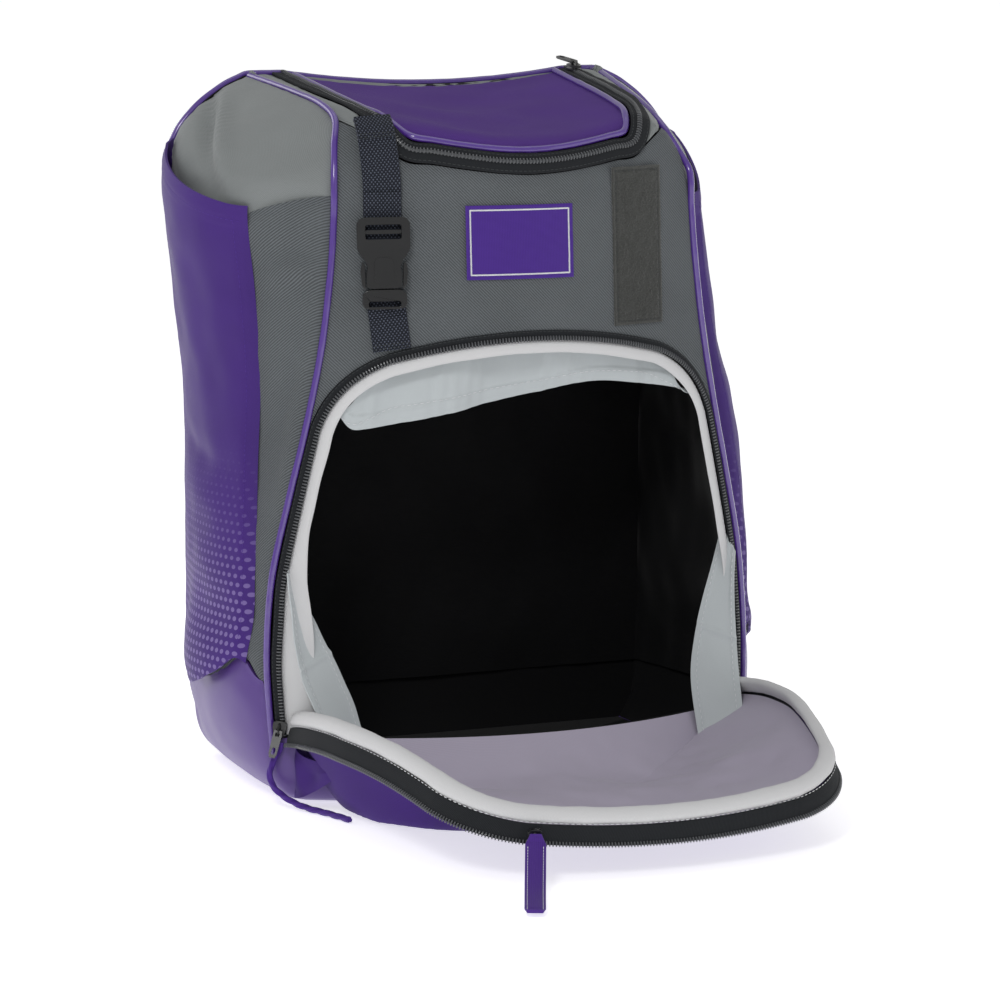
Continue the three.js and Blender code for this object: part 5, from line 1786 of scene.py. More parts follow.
@dataclass(frozen=True)
class Opening:
    """The arched opening: its zip, binding, lining, pocket and stays."""

    tape_out: float = 0.0052
    binding_from: float = 0.0013
    binding_width: float = 0.0085
    tooth: Point = (1.25, 3.6, 1.7)
    tooth_pitch: float = 0.0021
    lining_inset: float = 0.0048
    lining_top: float = 0.345
    pocket_sag: float = 0.024
    hem: tuple[tuple[float, float], ...] = (
        (-0.130, 0.262),
        (-0.121, 0.249),
        (-0.113, 0.247),
        (-0.067, 0.254),
        (-0.010, 0.264),
        (0.047, 0.273),
        (0.097, 0.268),
        (0.130, 0.262),
    )
    depths: tuple[tuple[float, float], ...] = (
        (-0.73, 0.23),
        (-0.55, 0.5),
        (-0.3, 0.83),
        (0, 1),
        (0.3, 0.83),
        (0.55, 0.5),
        (0.73, 0.23),
    )
    stay_edges: tuple[tuple[Point, ...], tuple[Point, ...]] = (
        (
            (-163, -57, 150),
            (-161.5, -60, 128),
            (-160, -66, 104),
            (-158, -74, 84),
            (-151, -96, 56),
            (-148, -108, 38),
        ),
        (
            (-158, -45, 166),
            (-150, -48, 140),
            (-141, -53, 118),
            (-133, -60, 99),
            (-123, -74, 70),
            (-118, -98, 33),
        ),
    )

    def zipper(self) -> None:
        """Make the zip's tape and teeth."""
        run = SEAMS.arch_run(0.0)
        tape = run.shifted((0.0006 - self.tape_out) / 2)
        outline = strip_outline(self.tape_out + 0.0006, -0.0012, 0.0005)
        solid = tape.band(outline)
        cord = run.shifted(0.0004, 0.0006).tube(0.0011, 8)
        show("opening_tape", solid.join(cord), TAPE, "opening_zipper")
        teeth = bars(run.shifted(0.0002, 0.0013), self.tooth, self.tooth_pitch)
        show("opening_teeth", teeth, TEETH)
        outer = run.shifted(-self.tape_out + 0.0009, 0.0004)
        show("opening_tape_stitches", stitches(outer, 2.0, 1.0, 0.4), DARK_THREAD)

    def binding(self) -> None:
        """Make the light padded binding inside the teeth."""
        run = SEAMS.arch_run(0.0, 0.0016)
        turn = np.linspace(0, FULL_TURN, 17)[:-1]
        half = self.binding_width / 2
        outline = np.stack([np.cos(turn) * half, np.sin(turn) * 0.0011], 1)
        wide = 1 + 0.05 * ripple(run.at, 40 * MM, 101)
        wide = wide + 1.5 * ease(run.at[:, 2], 0.19, 0.1) * (run.at[:, 0] < 0)
        sets = outline[None] * np.stack([wide, np.ones_like(wide)], 1)[:, None]
        strip = run.shifted(self.binding_from + half * wide).band(sets)
        show("opening_trim", strip, BINDING, "opening_binding")
        seam = run.shifted(self.binding_from + 0.0016, 0.0010)
        show("opening_trim_stitches", stitches(seam, 2.2, 1.2, 0.4), WHITE_THREAD)

    def lining(self) -> None:
        """Make the black lining of the compartment."""
        rings = np.array([0.0035, 0.0035, 0.02, 0.046])
        low = Cloth(self.inner(np.linspace(-3, 3, 241)[:-1], rings), loop=True)
        low.points[0] *= [0.002, 0.002, 1.0]
        right = np.linspace(0.985, 3, 60)
        left = np.linspace(-3, -0.985, 60)
        wall = Cloth(self.inner(np.concatenate([right, left[1:]]), np.linspace(0.044, self.lining_top, 60)))
        sag = 0.0016 * ripple(wall.points, 70 * MM, 111) + 0.0006 * ripple(wall.points, 22 * MM, 112)
        seam = Cloth(wall.points).border((Side.FIRST_COLUMN, Side.LAST_COLUMN))
        wall = wall.lifted(-0.0028 + sag * ease(seam, 0.0, 0.03))
        solid = wall.solid(0.0008, "yz").join(low.solid(0.0006, "xy"))
        show("lining_cloth", solid, BLACK, "compartment_lining")
        for hand, name in HANDS:
            at = self.inner(np.array([2.0 * hand]), np.linspace(0.02, 0.34, 80))[:, 0]
            way = unit(np.array([-1.0 * hand, -1.0, 0.0]))
            corner = Run.facing(at + way * 0.0005, way)
            show(f"lining_seam_{name}", corner.tube(0.0016, 8), BLACK)

    def inner(self, q: Array, z: Array) -> Array:
        """Give places on the inside of the body.

        Args:
            q: Places on the outline.
            z: Heights.

        Returns:
            A grid of points with a row for each height.
        """
        q, z = np.meshgrid(q, z)
        at = Boot().footed(*FORM.plan(q, z), z)
        grow = np.stack([at[..., 0], (at[..., 1] - 0.01) * 1.3, np.zeros_like(z)], -1)
        return at - unit(grow) * self.lining_inset * 1.25

    def pocket(self) -> None:
        """Hang the satin pocket behind the arch, gathered at its stitched hem."""
        u = np.linspace(-0.1268, 0.1268, 150)[None]
        v = np.linspace(0, 1, 44)[:, None]
        hem = read(self.hem, u)[..., 0]
        top = SEAMS.arch_crown + 0.004 - 0.05 * ease(np.abs(u), 0.085, 0.127)
        z = top + (hem - top) * v
        depth = self.pocket_sag * read([(a * FORM.half_width, b) for a, b in self.depths], u)[..., 0]
        depth = 0.0035 + (depth - 0.0035) * (0.45 + 0.55 * v)
        y = FORM.front_y(u, z) + depth
        x = np.broadcast_to(u, z.shape)
        flat = np.stack([x, np.zeros_like(z), z * 0.25], -1)
        gather = 0.0026 * ripple(flat, 34 * MM, 121) * ease(v, 0.0, 0.35)
        gather = gather + 0.0009 * ripple(flat, 11 * MM, 122)
        edge = Cloth(np.stack([x, y, z], -1)).border((Side.FIRST_COLUMN, Side.LAST_COLUMN))
        y = y + gather * ease(edge, 0.0, 0.02)
        cloth = Cloth(np.stack([x, y, z], -1), (0.0, 0.2, 0.25))
        from_hem = cloth.border((Side.LAST_ROW,))
        cloth = cloth.lifted(0.0007 * (1 - ease(from_hem, 0.0085, 0.0100)))
        pocket = show("pocket_cloth", cloth.solid(0.0008), SATIN, "inner_pocket")
        row = int(np.argmin(np.abs(from_hem[:, 75] - 0.0085)))
        hem_run = Run(cloth.points[row], cloth.normals()[row]).shifted(0.0, 0.0003)
        show("pocket_stitches", stitches(hem_run, 2.6, 1.6, 0.45), WHITE_THREAD)

    def stays(self) -> None:
        """Make the satin gusset straps between the opening's sides and the door."""
        for hand, name in HANDS:
            lines = [curve([(-hand * x, y, z) for x, y, z in edge], 90) * MM for edge in self.stay_edges]
            grid = ruled(lines[0], lines[1], 26)
            cloth = Cloth(grid, (-0.4 * hand, 0.6, 0.3))
            gap = cloth.border((Side.FIRST_COLUMN, Side.LAST_COLUMN))
            height = 0.0008 * ripple(grid, 30 * MM, 131 + hand) + 0.0005 * (1 - ease(gap, 0.0035, 0.0045))
            height += 0.0012 * np.exp(-(((np.linspace(0, 1, 90) - 0.47) / 0.012) ** 2))[:, None]
            cloth = cloth.lifted(height)
            stay = show(f"stay_{name}", cloth.solid(0.0009, "yz"), SATIN, f"door_stay_{name}")
            solid = Solid()
            for column in (3, -4):
                line = Run(cloth.points[3:-3, column], cloth.normals()[3:-3, column]).shifted(0.0, 0.0003)
                solid.join(stitches(line, 2.4, 1.6, 0.4))
            show(f"stay_stitches_{name}", solid, WHITE_THREAD)

    def build(self) -> None:
        """Make the opening's pieces."""
        self.zipper()
        self.binding()
        self.lining()
        self.pocket()
        self.stays()


@dataclass(frozen=True)
class Door:
    """The let-down front door: rim, outer pouch and lining."""

    tooth: Point = (1.25, 3.4, 1.7)
    tooth_pitch: float = 0.0021
    root_back: float = 0.033
    root_height: float = 0.032
    start: float = 0.036
    tilt: float = 18.5
    droop: float = 0.102
    reach: float = 0.285
    rim_height: float = 0.022
    rim_lean: float = 0.012
    pouch_rest: float = 0.0006
    pouch_free: float = 0.014
    pouch_half: float = 0.14
    pouch_reach: float = 0.085
    pouch_middle: float = 0.1
    middle: float = 0.185
    tray: float = 0.02
    roll: tuple[tuple[float, float], ...] = (
        (-0.3, 0.585),
        (-0.16, 0.7),
        (-0.36, 0.93),
        (-0.75, 1.02),
        (-1.04, 0.91),
        (-0.7, 0.585),
        (-0.3, 0.585),
    )
    corner_edges: tuple[tuple[Point, ...], tuple[Point, ...]] = (
        ((158, -58, 43), (160, -72, 38), (156, -92, 37), (150, -112, 40)),
        ((158, -60, 5), (158, -74, 9), (154, -92, 18), (149, -112, 30)),
    )

    def rim(self, count: int = 420) -> Run:
        """Give the rim's lower outer edge, from the left of the hinge round to its right."""
        path = SEAMS.arch(0.0, count)
        span = SEAMS.arch_crown - SEAMS.hinge
        reach = self.start + (path[:, 1] - SEAMS.hinge) * (self.reach - self.start) / span
        tilt = math.radians(self.tilt)
        z = self.root_height + math.sin(tilt) * reach - self.droop * (reach / self.reach) ** 2
        at = np.stack([path[:, 0], -self.root_back - math.cos(tilt) * reach, z], 1)
        return Run.facing(at, (0.0, 0.0, 1.0))

    def rim_at(self, out: float, up: float) -> Run:
        """Give a line along the rim, by its place out in the rim's lean and up in its height."""
        return self.rim().shifted(out * self.rim_lean, up * self.rim_height)

    def rim_pieces(self) -> None:
        """Make the rim's zip tape, teeth, stitches and padded binding."""
        run = self.rim()
        tape = np.array([(0, 0), (0.15, 0.015), (0.02, 0.28), (-0.2, 0.56), (-0.35, 0.545), (-0.16, 0.28)])
        tape = tape * [self.rim_lean, self.rim_height]
        fine = np.array(
            [(0, 0), (1.4, 0.2), (1.4, 1.2), (0.6, 5.4), (-1.9, 12.0), (-3.6, 12.2), (-3.4, 9.5), (-1.0, 4.6)]
        )
        show("door_tape", run.band(fine * MM), TAPE, "door_zipper")
        edge = Run(run.shifted(0.0012, 0.0006).at, unit(run.frame()[1] * 0.9 + np.array([0, 0, 0.45])))
        show("door_teeth", bars(edge.shifted(0.0, 0.0007), self.tooth, self.tooth_pitch), TEETH)
        corners = np.array(self.roll) * [self.rim_lean, self.rim_height]
        outline = curve(corners, 27)[:-1]
        middle = outline.mean(0)
        puff = 1 + 0.05 * ripple(run.at, 26 * MM, 141) + 0.02 * ripple(run.at, 9 * MM, 142)
        sets = middle + (outline - middle)[None] * puff[:, None, None]
        show("door_roll", run.band(sets), BINDING, "door_binding")
        seam = self.rim_at(-0.13, 0.6)
        outward_run = Run(seam.at, unit(seam.frame()[1] + np.array([0, 0, 0.5])))
        show("door_roll_stitches", stitches(outward_run.shifted(0.0, 0.0002), 2.3, 1.3, 0.5), WHITE_THREAD)

    def border(self, out: float, up: float, hinge_z: float) -> Array:
        """Give a closed line along the rim and back along the hinge.

        Args:
            out: Its place inwards from the rim in the rim's lean.
            up: Its place up the rim in the rim's height.
            hinge_z: Its height at the hinge.

        Returns:
            The line's points.
        """
        rim = self.rim_at(-out, up).at[::3]
        half = abs(rim[0, 0])
        x = np.linspace(half, -half, 62)[1:-1]
        z = np.full(x.shape, hinge_z)
        return np.concatenate([rim, np.stack([x, FORM.front_y(x, z) - 0.0014, z], 1)])

    def sheet(self, edge: Array, shares: Array) -> tuple[Array, Array, Array]:
        """Spread a sheet's plan from its edge to its middle.

        Args:
            edge: The closed edge.
            shares: The rings' sizes as shares of the edge.

        Returns:
            The plan's X and Y, and the edge's height at each point.
        """
        middle = np.array([0.0, -self.middle, 0.0])
        grid = middle + (edge - middle)[None] * shares[:, None, None]
        return grid[..., 0], grid[..., 1], np.broadcast_to(edge[:, 2], grid.shape[:2])

    def outer(self) -> None:
        """Make the purple outer pouch, resting on the floor."""
        shares = np.concatenate([np.linspace(1, 0.7, 44), np.linspace(0.69, 0.002, 24)])
        x, y, edge_z = self.sheet(self.border(0.36, 0.36, 0.043), shares)
        s = shares[:, None]
        belly = np.hypot(x / self.pouch_half, (y + self.pouch_middle) / self.pouch_reach)
        free = self.pouch_free + (edge_z - self.pouch_free) * s**3
        lift = np.maximum(ease(belly, 0.92, 1.22), s**14)
        z = self.pouch_rest + (free - self.pouch_rest) * lift
        wrinkle = 0.0016 * ripple(np.stack([x, y * 0.35, z * 0], -1), 42 * MM, 151)
        z = np.maximum(z + np.abs(wrinkle) * ease(s, 0.55, 0.85) * ease(1 - s, 0.0, 0.02), 0.0004)
        cloth = Cloth(np.stack([x, y, z], -1), (0.0, -self.middle, 0.6), True)
        show("door_pouch", cloth.solid(0.0014, "xy"), PURPLE, "door_panel")

    def inner(self) -> None:
        """Make the lavender lining."""
        shares = np.linspace(1, 0.002, 56)
        x, y, edge_z = self.sheet(self.border(0.7, 0.5, 0.0475), shares)
        s = shares[:, None]
        z = self.tray + (edge_z - self.tray) * s**3
        soft = 0.0022 * ripple(np.stack([x, y, z * 0], -1), 60 * MM, 161)
        soft += 0.0007 * ripple(np.stack([x, y, z * 0], -1), 20 * MM, 162)
        z = z + soft * ease(1 - s, 0.0, 0.2)
        cloth = Cloth(np.stack([x, y, z], -1), (0.0, -self.middle, -0.6), True)
        lining = show("door_lining_cloth", cloth.solid(0.0009, "xy"), LAVENDER, "door_lining")

    def corners(self) -> None:
        """Make the folded cloth that joins the boot to the door at each end of the hinge."""
        for hand, name in HANDS:
            top, low = (curve([(x * hand, y, z) for x, y, z in edge], 60) for edge in self.corner_edges)
            cloth = Cloth(ruled(top * MM, low * MM, 30), (0.0, -0.08, 0.03))
            pleat = 0.0022 * np.sin(np.linspace(0, 3.2 * math.pi, 60))[:, None]
            pleat = pleat * ease(cloth.border(ALL_SIDES), 0, 0.012)
            show(f"corner_fold_{name}", cloth.lifted(pleat).solid(0.0012, "yz"), PURPLE)

    def build(self) -> None:
        """Make the door's pieces."""
        self.rim_pieces()
        self.outer()
        self.inner()
        self.corners()


def slab(outline: Array, holes: Sequence[Array], thick: float) -> Solid:
    """Raise a flat shape with holes to a thickness.

    Args:
        outline: The shape's outline, across and up.
        holes: The outlines of its holes.
        thick: The thickness.

    Returns:
        The closed slab over the plane at height 0.
    """
    loops = [np.asarray(loop, float) for loop in (outline, *holes)]
    flat = np.concatenate(loops)
    triangles = tessellate_polygon([[Vector((x, y, 0)) for x, y in loop] for loop in loops])
    count = len(flat)
    top = np.column_stack([flat, np.full(count, thick)])
    low = np.column_stack([flat, np.zeros(count)])
    faces = []
    for a, b, c in triangles:
        area = np.cross(flat[b] - flat[a], flat[c] - flat[a])
        a, b, c = (a, b, c) if area > 0 else (a, c, b)
        faces += [[a, b, c], [a + count, c + count, b + count]]
    solid = Solid().add(np.concatenate([top, low]), np.array(faces))
    walls, start = [], 0
    for k, loop in enumerate(loops):
        turning = np.sum(loop[:, 0] * np.roll(loop[:, 1], -1) - loop[:, 1] * np.roll(loop[:, 0], -1)) > 0
        size = len(loop)
        for i in range(size):
            a, b = start + i, start + (i + 1) % size
            wall = [a, a + count, b + count, b]
            walls.append(wall if turning == (k == 0) else wall[::-1])
        start += size
    solid.faces.append(np.array(walls))
    return solid


def rounded(width: float, height: float, radius: float, x: float = 0.0, y: float = 0.0) -> Array:
    """Give a rounded rectangle's outline."""
    turn = np.linspace(0, math.pi / 2, 6)
    points = []
    for k, (a, b) in enumerate(((1, 1), (-1, 1), (-1, -1), (1, -1))):
        at = turn + k * math.pi / 2
        across = a * (width / 2 - radius) + radius * np.cos(at)
        points.append(np.stack([across, b * (height / 2 - radius) + radius * np.sin(at)], 1))
    return np.concatenate(points) + [x, y]


@dataclass(frozen=True)
class FrontStrap:
    """The webbing at the left of the front with its side-release buckle."""

    x: float = -0.0997
    buckle_z: float = 0.357
    width: float = 0.025
    lift: float = 0.0038
    root: float = -0.3
    row_half: float = 0.0105
    upper: tuple[tuple[float, float], ...] = ((0.94, 1), (0.912, 0.8), (0.876, 0.2), (0.837, 0), (0.796, 0))
    lower: tuple[tuple[float, float], ...] = ((0, 0.725), (0.08, 0.687), (0.16, 0.644))

    def place(self, solid: Solid, x: float, y: float, lift: float) -> Solid:
        """Lay a flat body on the front at the buckle.

        Args:
            solid: The body, across, up and out.
            x: Its shift across.
            y: Its shift up.
            lift: Its height over the cloth.

        Returns:
            The laid body.
        """
        spot = FORM.front_run(np.array([self.x]), np.array([self.buckle_z]))
        out = spot.out[0]
        side = unit(np.array([1.0, 0.0, 0.0]) - out * out[0])
        up = np.cross(out, side)
        base = spot.at[0] + out * lift + side * x + up * y
        return solid.placed(base, side, up, out)

    def webbing(self) -> None:
        """Make both lengths of webbing with their box stitches."""
        z = np.array([row[0] for row in self.upper]) * FORM.height
        lifts = np.array([1.0, *(row[1] for row in self.upper)]) * self.lift
        high = FORM.front(np.full(2, self.x), z[:2])
        low = FORM.front_run(np.full(3, self.x), z[2:])
        start = FORM.top(np.array([self.x]), np.array([self.root * FORM.top_reach]))
        at = np.concatenate([start.at, high.at, low.at])
        run = Run(at, np.concatenate([start.out, high.out, low.out])).smooth(2)
        run = Run(run.at + run.out * lifts[:, None], run.out).respaced(140)
        bend = 0.0005 * ripple(run.at, 30 * MM, 171)[:, None] * ease(np.linspace(0, 1, 140), 0, 0.3)[:, None]
        run = Run(run.at + run.out * np.maximum(bend, 0), run.out)
        outline = strip_outline(self.width, 0.00035, 0.00215, 0.0006)
        solid = run.band(outline)
        fold = run.part(0.0, 0.2, 30).shifted(0.0, 0.0019)
        solid.join(fold.band(strip_outline(self.width - 0.0004, 0.0, 0.0016, 0.0006)))
        loop_run = run.part(0.62, 1.0, 40).shifted(0.0, 0.0019)
        solid.join(loop_run.band(strip_outline(self.width - 0.001, 0.0, 0.0013, 0.0005)))
        show("webbing_top", solid, WEBBING, "webbing_upper")
        x = self.x + np.array([row[0] for row in self.lower]) * self.width
        z = np.array([row[1] for row in self.lower]) * FORM.height
        tail = FORM.front_run(x, z).smooth(1).respaced(60)
        solid = tail.band(outline)
        end = tail.part(0.0, 0.42, 24).shifted(0.0, 0.0019)
        solid.join(end.band(strip_outline(self.width - 0.001, 0.0, 0.0015)))
        show("webbing_low", solid, WEBBING, "webbing_lower")
        rows = Solid()
        for line, shares, up in ((run, (0.165, 0.19), 0.0036), (tail, (0.9, 0.96), 0.0022)):
            for share in shares:
                rows.join(self.row_across(line.part(share, share + 0.01, 4).shifted(0.0, up)))
        show("webbing_stitches", rows, DARK_THREAD)

    def row_across(self, spot: Run) -> Solid:
        """Sew a short row across the webbing at a spot."""
        line = spot.at[0] + spot.frame()[1][0] * np.linspace(-self.row_half, self.row_half, 20)[:, None]
        return stitches(Run.facing(line, spot.out[0]), 1.8, 0.7, 0.5)

    def buckle(self) -> None:
        """Make the moulded buckle: its socket with a slot and its clip with two prongs."""
        right = [(8, -17), (11.2, -16), (11.6, -8), (10.4, -3), (12.2, 1), (14.8, 4.5), (16.6, 7), (17.2, 10)]
        right += [(17.2, 25), (15.6, 28), (12, 29)]
        slot = rounded(0.0235, 0.0095, 0.0015, 0.0, 0.0195)
        socket = slab(mirrored(right), [slot], 0.0052)
        self.place(socket, 0.0, 0.0, 0.0030)
        bar = slab(rounded(0.0235, 0.0026, 0.0011), [], 0.0026)
        socket.join(self.place(bar, 0.0, 0.0195, 0.0046))
        panel = slab(rounded(0.0125, 0.017, 0.004), [], 0.0012)
        socket.join(self.place(panel, 0.0, -0.0055, 0.0078))
        body = show("buckle_body", socket, PLASTIC, "buckle_socket", sharp=30)
        self.soften(body, 0.0007)
        low = [(9, -30.5), (13.2, -29.5), (14.6, -26.5), (14.2, -20.5), (11.6, -18.2), (8, -17.8)]
        slot = rounded(0.021, 0.0034, 0.0012, 0.0, -0.0272)
        clip = self.place(slab(mirrored(low), [slot], 0.005), 0, 0, 0.0030)
        side = np.array([(12, -18), (14.6, -14.5), (15.4, -6), (14.2, 0.5), (12.6, -1), (12.2, -8)])
        for hand, _ in HANDS:
            prong = side[::hand] * [hand, 1] * MM
            clip.join(self.place(slab(prong, [], 0.0034), 0.0, 0.0, 0.0038))
        latch = show("buckle_prongs", clip, PLASTIC, "buckle_clip", sharp=30)
        self.soften(latch, 0.0006)

    def soften(self, piece: bpy.types.Object, width: float) -> None:
        """Round the edges of a moulded piece."""
        bevel = piece.modifiers.new("rounding", "BEVEL")
        bevel.width, bevel.segments, bevel.limit_method = width, 3, "ANGLE"
        bevel.angle_limit = math.radians(40)

    def build(self) -> None:
        """Make the strap."""
        self.webbing()
        self.buckle()


@dataclass(frozen=True)
class FrontPatches:
    """The bare sewn patch and the loop strip on the front."""

    patch_x: float = -0.0097
    patch_z: float = 0.369
    patch_width: float = 0.075
    patch_height: float = 0.048
    border_stitch: Point = (0.55, 1.1, 0.5)
    border_pitch: float = 0.00052
    loop_x: float = 0.0795
    loop_z: float = 0.363
    loop_width: float = 0.04
    loop_length: float = 0.104

    def grid(self, x: float, z: float, width: float, height: float, cell: float) -> Cloth:
        """Lay a rectangle on the front.

        Args:
            x: Its middle across.
            z: Its middle up.
            width: Its width.
            height: Its height.
            cell: The size of its cells.

        Returns:
            Its cloth.
        """
        across = np.linspace(-width / 2, width / 2, int(width / cell))
        up = np.linspace(height / 2, -height / 2, int(height / cell))
        a, b = np.meshgrid(across, up)
        run = FORM.front_run(x + a, z + b)
        return Cloth(run.at, (0.0, 0.1, z))

    def frame_run(self, cloth: Cloth, inset: int) -> Run:
        """Give the closed line a few cells inside a rectangle's border."""
        p, n = cloth.points, cloth.normals()
        k = inset
        pieces = [(k, slice(k, -k - 1)), (slice(k, -k - 1), -k - 1)]
        at = [p[s] for s in pieces] + [p[-k - 1, k + 1 :][::-1][k:], p[k:, k][::-1][k:]]
        out = [n[s] for s in pieces] + [n[-k - 1, k + 1 :][::-1][k:], n[k:, k][::-1][k:]]
        return Run(np.concatenate(at), np.concatenate(out))

    def build(self) -> None:
        """Make the patch and the strip."""
        patch = self.grid(self.patch_x, self.patch_z, self.patch_width, self.patch_height, 0.001)
        gap = patch.border(ALL_SIDES)
        crown = 0.0012 + 0.0005 * np.exp(-(((gap - 0.0012) / 0.0010) ** 2))
        cloth = patch.lifted(crown + 0.00012 * ripple(patch.points, 8 * MM, 181))
        show("front_patch", cloth.solid(0.0012), PATCH_PURPLE, "patch")
        line = self.frame_run(cloth, 3)
        show("patch_border", bars(line, self.border_stitch, self.border_pitch), WHITE_THREAD)
        loop = self.grid(self.loop_x, self.loop_z, self.loop_width, self.loop_length, 0.00065)
        gap = loop.border(ALL_SIDES)
        rng = np.random.default_rng(191)
        tuft = rng.uniform(0, 1, gap.shape) ** 2
        height = 0.0011 + 0.0009 * tuft * ease(gap, 0.0008, 0.003) + 0.0002 * ripple(loop.points, 5 * MM, 192)
        height -= 0.0007 * np.exp(-(((gap - 0.0026) / 0.0007) ** 2))
        show("loop_pile", loop.lifted(height).solid(0.0012), FUZZ, "loop_strip", sharp=180)
        edge = self.frame_run(loop.lifted(0.0012), 4)
        show("loop_stitches", stitches(edge, 2.4, 1.2, 0.45), DARK_THREAD)


@dataclass(frozen=True)
class LidZip:
    """The zip round the lid: its wide tape and teeth."""

    tooth: Point = (1.3, 3.8, 1.9)
    tooth_pitch: float = 0.0023

    def build(self) -> None:
        """Make the zip."""
        run = SEAMS.beside_lid(LID_ZIP_LINE).respaced(380)
        soft = 0.0003 * ripple(run.at, 30 * MM, 201)
        tape = Run(run.at + run.out * soft[:, None], run.out)
        show("lid_tape", tape.band(strip_outline(2 * ZIP_HALF + 0.0006, -0.0008, 0.0009)), TAPE, "lid_zipper")
        line = tape.shifted(-0.0012, 0.0014)
        teeth = bars(line, self.tooth, self.tooth_pitch)
        teeth.join(line.shifted(0.0, -0.0005).tube(0.0011, 8))
        show("lid_teeth", teeth, TEETH)
        rows = stitches(tape.shifted(ZIP_HALF - 0.0012, 0.0009), 2.2, 1.0, 0.4)
        rows.join(stitches(tape.shifted(-ZIP_HALF + 0.0012, 0.0009), 2.2, 1.0, 0.4))
        show("lid_tape_stitches", rows, DARK_THREAD)


@dataclass(frozen=True)
class Pulls:
    """The zip sliders and the pull tag."""

    tag_width: float = 0.013

    def slider(self, name: str, at: Array, along: Array, out: Array, tab: Array, node: str) -> None:
        """Make a slider with its bridge and tab.

        Args:
            name: The piece's name.
            at: The middle of its foot.
            along: The way along the zip.
            out: The way out of the cloth.
            tab: The way that its tab hangs.
            node: The frame's node that it stands for.
        """
        out, along = unit(np.asarray(out, float)), unit(np.asarray(along, float))
        side = unit(np.cross(along, out))
        along = unit(np.cross(out, side))
        shape = mirrored([(2.4, -6.2), (3.4, -3.0), (4.6, 1.5), (4.4, 5.0), (2.2, 6.4)])
        body = slab(shape, [], 0.0014).join(self.raised(slab(shape * 0.97, [], 0.0013), 0.0026))
        post = slab(rounded(0.0024, 0.007, 0.001), [], 0.0022)
        body.join(self.raised(post, 0.001))
        bridge = curve([(0, -4.4, 3.4), (0, -3.2, 5.4), (0, 0, 6.2), (0, 3.0, 5.4), (0, 4.2, 3.4)], 14) * MM
        body.join(Run.facing(bridge, (1.0, 0.0, 0.0)).tube(0.00095, 8))
        body.placed(at, side, along, out)
        tab = unit(np.asarray(tab, float))
        start = np.asarray(at) + out * 0.0050
        flat = unit(np.cross(tab, np.cross(tab, out)))
        flat = flat if flat @ out > 0 else -flat
        cross = unit(np.cross(tab, flat))
        blade = mirrored([(2.6, 0), (3.0, 3), (2.7, 16), (1.8, 18.5)])
        eye = rounded(0.0028, 0.0030, 0.001, 0.0, 0.0028)
        gap = rounded(0.0024, 0.0046, 0.001, 0.0, 0.0140)
        plate = slab(blade, [eye, gap], 0.0015)
        plate.placed(start, cross, tab, flat)
        piece = show(name, body.join(plate), PLASTIC, node, sharp=35)
        FrontStrap().soften(piece, 0.0003)

    def raised(self, solid: Solid, lift: float) -> Solid:
        """Lift a solid up."""
        solid.points = [points + [0.0, 0.0, lift] for points in solid.points]
        return solid

    def corner(self) -> None:
        """Make the slider at the left corner."""
        low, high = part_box("corner_slider")
        foot = FORM.front_run(np.array([(low[0] + high[0]) / 2]), np.array([(low[2] + high[2]) / 2]))
        at = foot.at[0] + foot.out[0] * 0.0010
        self.slider("corner_pull", at, (0.1, 0, 1), foot.out[0], (-0.35, -0.25, -0.9), "corner_slider")

    def lid(self) -> None:
        """Make the slider at the lid's right end."""
        run = SEAMS.beside_lid(LID_ZIP_LINE)
        spot = run.part(0.972, 0.978, 3)
        at = spot.at[1] + spot.out[1] * 0.0016
        self.slider("lid_pull", at, (0, 1, 0), spot.out[1], (-0.2, 0.75, 0.1), "lid_slider")

    def rim(self) -> None:
        """Make the rim's slider with the woven tag that hangs from it."""
        low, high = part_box("door_slider")
        middle = (np.array(low) + np.array(high)) / 2
        toward = np.array([-0.41, -0.91, 0.0])
        at = middle - toward * 0.003
        self.slider("rim_pull", at, (0, 0.32, 0.95), toward, (-0.2, -0.5, -0.75), "door_slider")
        start = middle + toward * 0.0034 + np.array([0, 0, 0.001])
        length, drop = 0.071, start[2] - 0.0029
        spots = ((0, -0.1), (0.06, 0.16), (0.25, 0.52), (0.55, 0.86), (1, 1))
        at = curve([start + toward * a * length - np.array([0, 0, f * drop]) for a, f in spots], 90)
        run = Run.facing(at, unit(np.array([-0.1, -0.2, 1.0])))
        wide = np.concatenate([np.linspace(0.55, 1, 8), np.ones(76), np.linspace(1, 0.8, 6)])
        outline = strip_outline(self.tag_width, 0.0, 0.0022, 0.0007)
        sets = outline[None] * np.stack([wide, np.ones(90)], 1)[:, None]
        show("tag_strip", run.band(sets), TAG_PURPLE, "pull_tag")
        line = run.part(0.12, 0.98, 60).shifted(0.0, 0.0022)
        border = stitches(line.shifted(0.0048), 1.6, 0.5, 0.4)
        border.join(stitches(line.shifted(-0.0048), 1.6, 0.5, 0.4))
        show("tag_stitches", border, WHITE_THREAD)

    def build(self) -> None:
        """Make the sliders and the tag."""
        self.corner()
        self.lid()
        self.rim()


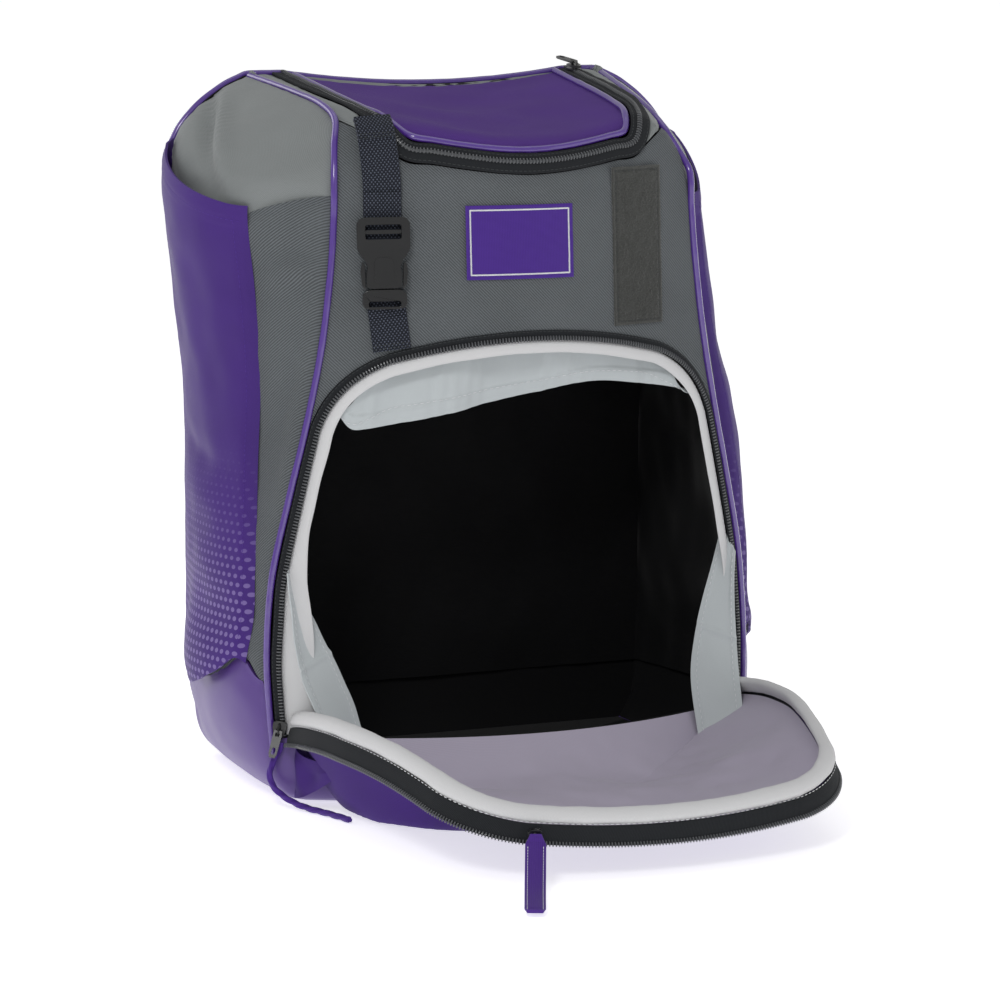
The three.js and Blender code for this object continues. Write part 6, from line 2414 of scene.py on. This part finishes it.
@dataclass(frozen=True)
class Carrying:
    """The shoulder straps, their webbing and the grab handle on the back."""

    strap_width: float = 0.062
    strap_thick: float = 0.011
    stand: float = 0.042
    handle_stand: float = 0.018
    webbing_width: float = 0.025
    strap: tuple[Point, ...] = (
        (0.3, 0.015, 0.868),
        (0.31, 0.33, 0.857),
        (0.34, 0.76, 0.815),
        (0.43, 1, 0.7),
        (0.53, 0.95, 0.57),
        (0.62, 0.72, 0.46),
    )
    tail: tuple[Point, ...] = (
        (0.635, 0.79, 0.455),
        (0.67, 0.57, 0.39),
        (0.72, 0.26, 0.315),
        (0.755, 0.015, 0.27),
    )
    handle: tuple[Point, ...] = (
        (-0.22, 0.035, 0.925),
        (-0.18, 0.72, 0.938),
        (-0.06, 1, 0.945),
        (0.06, 1, 0.945),
        (0.18, 0.72, 0.938),
        (0.22, 0.035, 0.925),
    )

    def run(self, spots: Sequence[Point], hand: int, stand: float, count: int) -> Run:
        """Give a strap's line behind the back.

        Args:
            spots: Across in half widths, off the back in the stand, and up in heights.
            hand: -1 for the left and 1 for the right.
            stand: How far the farthest spot stands off.
            count: How many points it gets.

        Returns:
            The line's run.
        """
        rows = np.array(spots)
        z = rows[:, 2] * FORM.height
        y = FORM.back_y(z) + rows[:, 1] * stand
        at = curve(np.stack([hand * rows[:, 0] * FORM.half_width, y, z], 1), count)
        return Run.facing(at, (0.0, 1.0, 0.0))

    def build(self) -> None:
        """Make both straps and the handle."""
        for hand, name in HANDS:
            run = self.run(self.strap, hand, self.stand, 150)
            turn = np.linspace(0, FULL_TURN, 41)[:-1]
            c, s = np.cos(turn), np.sin(turn)
            half = self.strap_width / 2
            across = np.sign(c) * np.abs(c) ** 0.45 * half
            up = (0.5 + 0.5 * np.sign(s) * np.abs(s) ** 0.6) * self.strap_thick
            share = np.linspace(0, 1, 150)
            crown = 1 - 0.5 * (np.exp(-((share / 0.03) ** 2)) + np.exp(-(((1 - share) / 0.03) ** 2)))
            soft = 1 + 0.05 * ripple(run.at, 40 * MM, 211 + hand)
            sets = np.stack([np.tile(across, (150, 1)), up[None] * (crown * soft)[:, None]], -1)
            pad = show(f"strap_pad_{name}", run.band(sets), BLACK, f"shoulder_strap_{name}")
            trim = Solid()
            for edge in (-1, 1):
                line = run.shifted(edge * (half - 0.0005), 0.5 * self.strap_thick * crown)
                trim.join(line.tube(0.0024, 10))
            show(f"strap_binding_{name}", trim, TAPE)
            seams = Solid()
            for edge in (-1, 1):
                seams.join(stitches(run.shifted(edge * (half - 0.007), (self.strap_thick + 0.0001) * crown)))
            show(f"strap_stitches_{name}", seams, DARK_THREAD)
            tail = self.run(self.tail, hand, self.stand, 70)
            band = tail.band(strip_outline(self.webbing_width, 0.0, 0.0018, 0.0006))
            show(f"strap_tail_{name}", band, WEBBING, f"strap_webbing_{name}")
        run = self.run(self.handle, 1, self.handle_stand, 110)
        solid = run.band(strip_outline(self.webbing_width, 0.0, 0.0018, 0.0006))
        grip = run.part(0.3, 0.7, 50)
        turn = np.linspace(0, FULL_TURN, 25)[:-1]
        outline = np.stack([np.cos(turn) * 0.0128, 0.0009 + np.sin(turn) * 0.0032], 1)
        show("handle_webbing", solid, WEBBING, "grab_handle")
        show("handle_grip", grip.band(outline), BLACK)


def main() -> None:
    """Build the studio and then the bag, piece by piece."""
    logging.basicConfig(level=logging.INFO, format="%(message)s")
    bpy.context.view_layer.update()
    steps = [
        Studio(),
        CornerCord(),
        Boot(),
        SidePanels(),
        FrontPanel(),
        Top(),
        Pipings(),
        Back(),
        LidZip(),
        Opening(),
        Sleeve(-1),
        Sleeve(1),
        Door(),
        FrontStrap(),
        FrontPatches(),
        Pulls(),
        Carrying(),
    ]
    for step in steps:
        step.build()
        LOG.info("built %s", type(step).__name__)


if __name__ == "__main__":
    main()
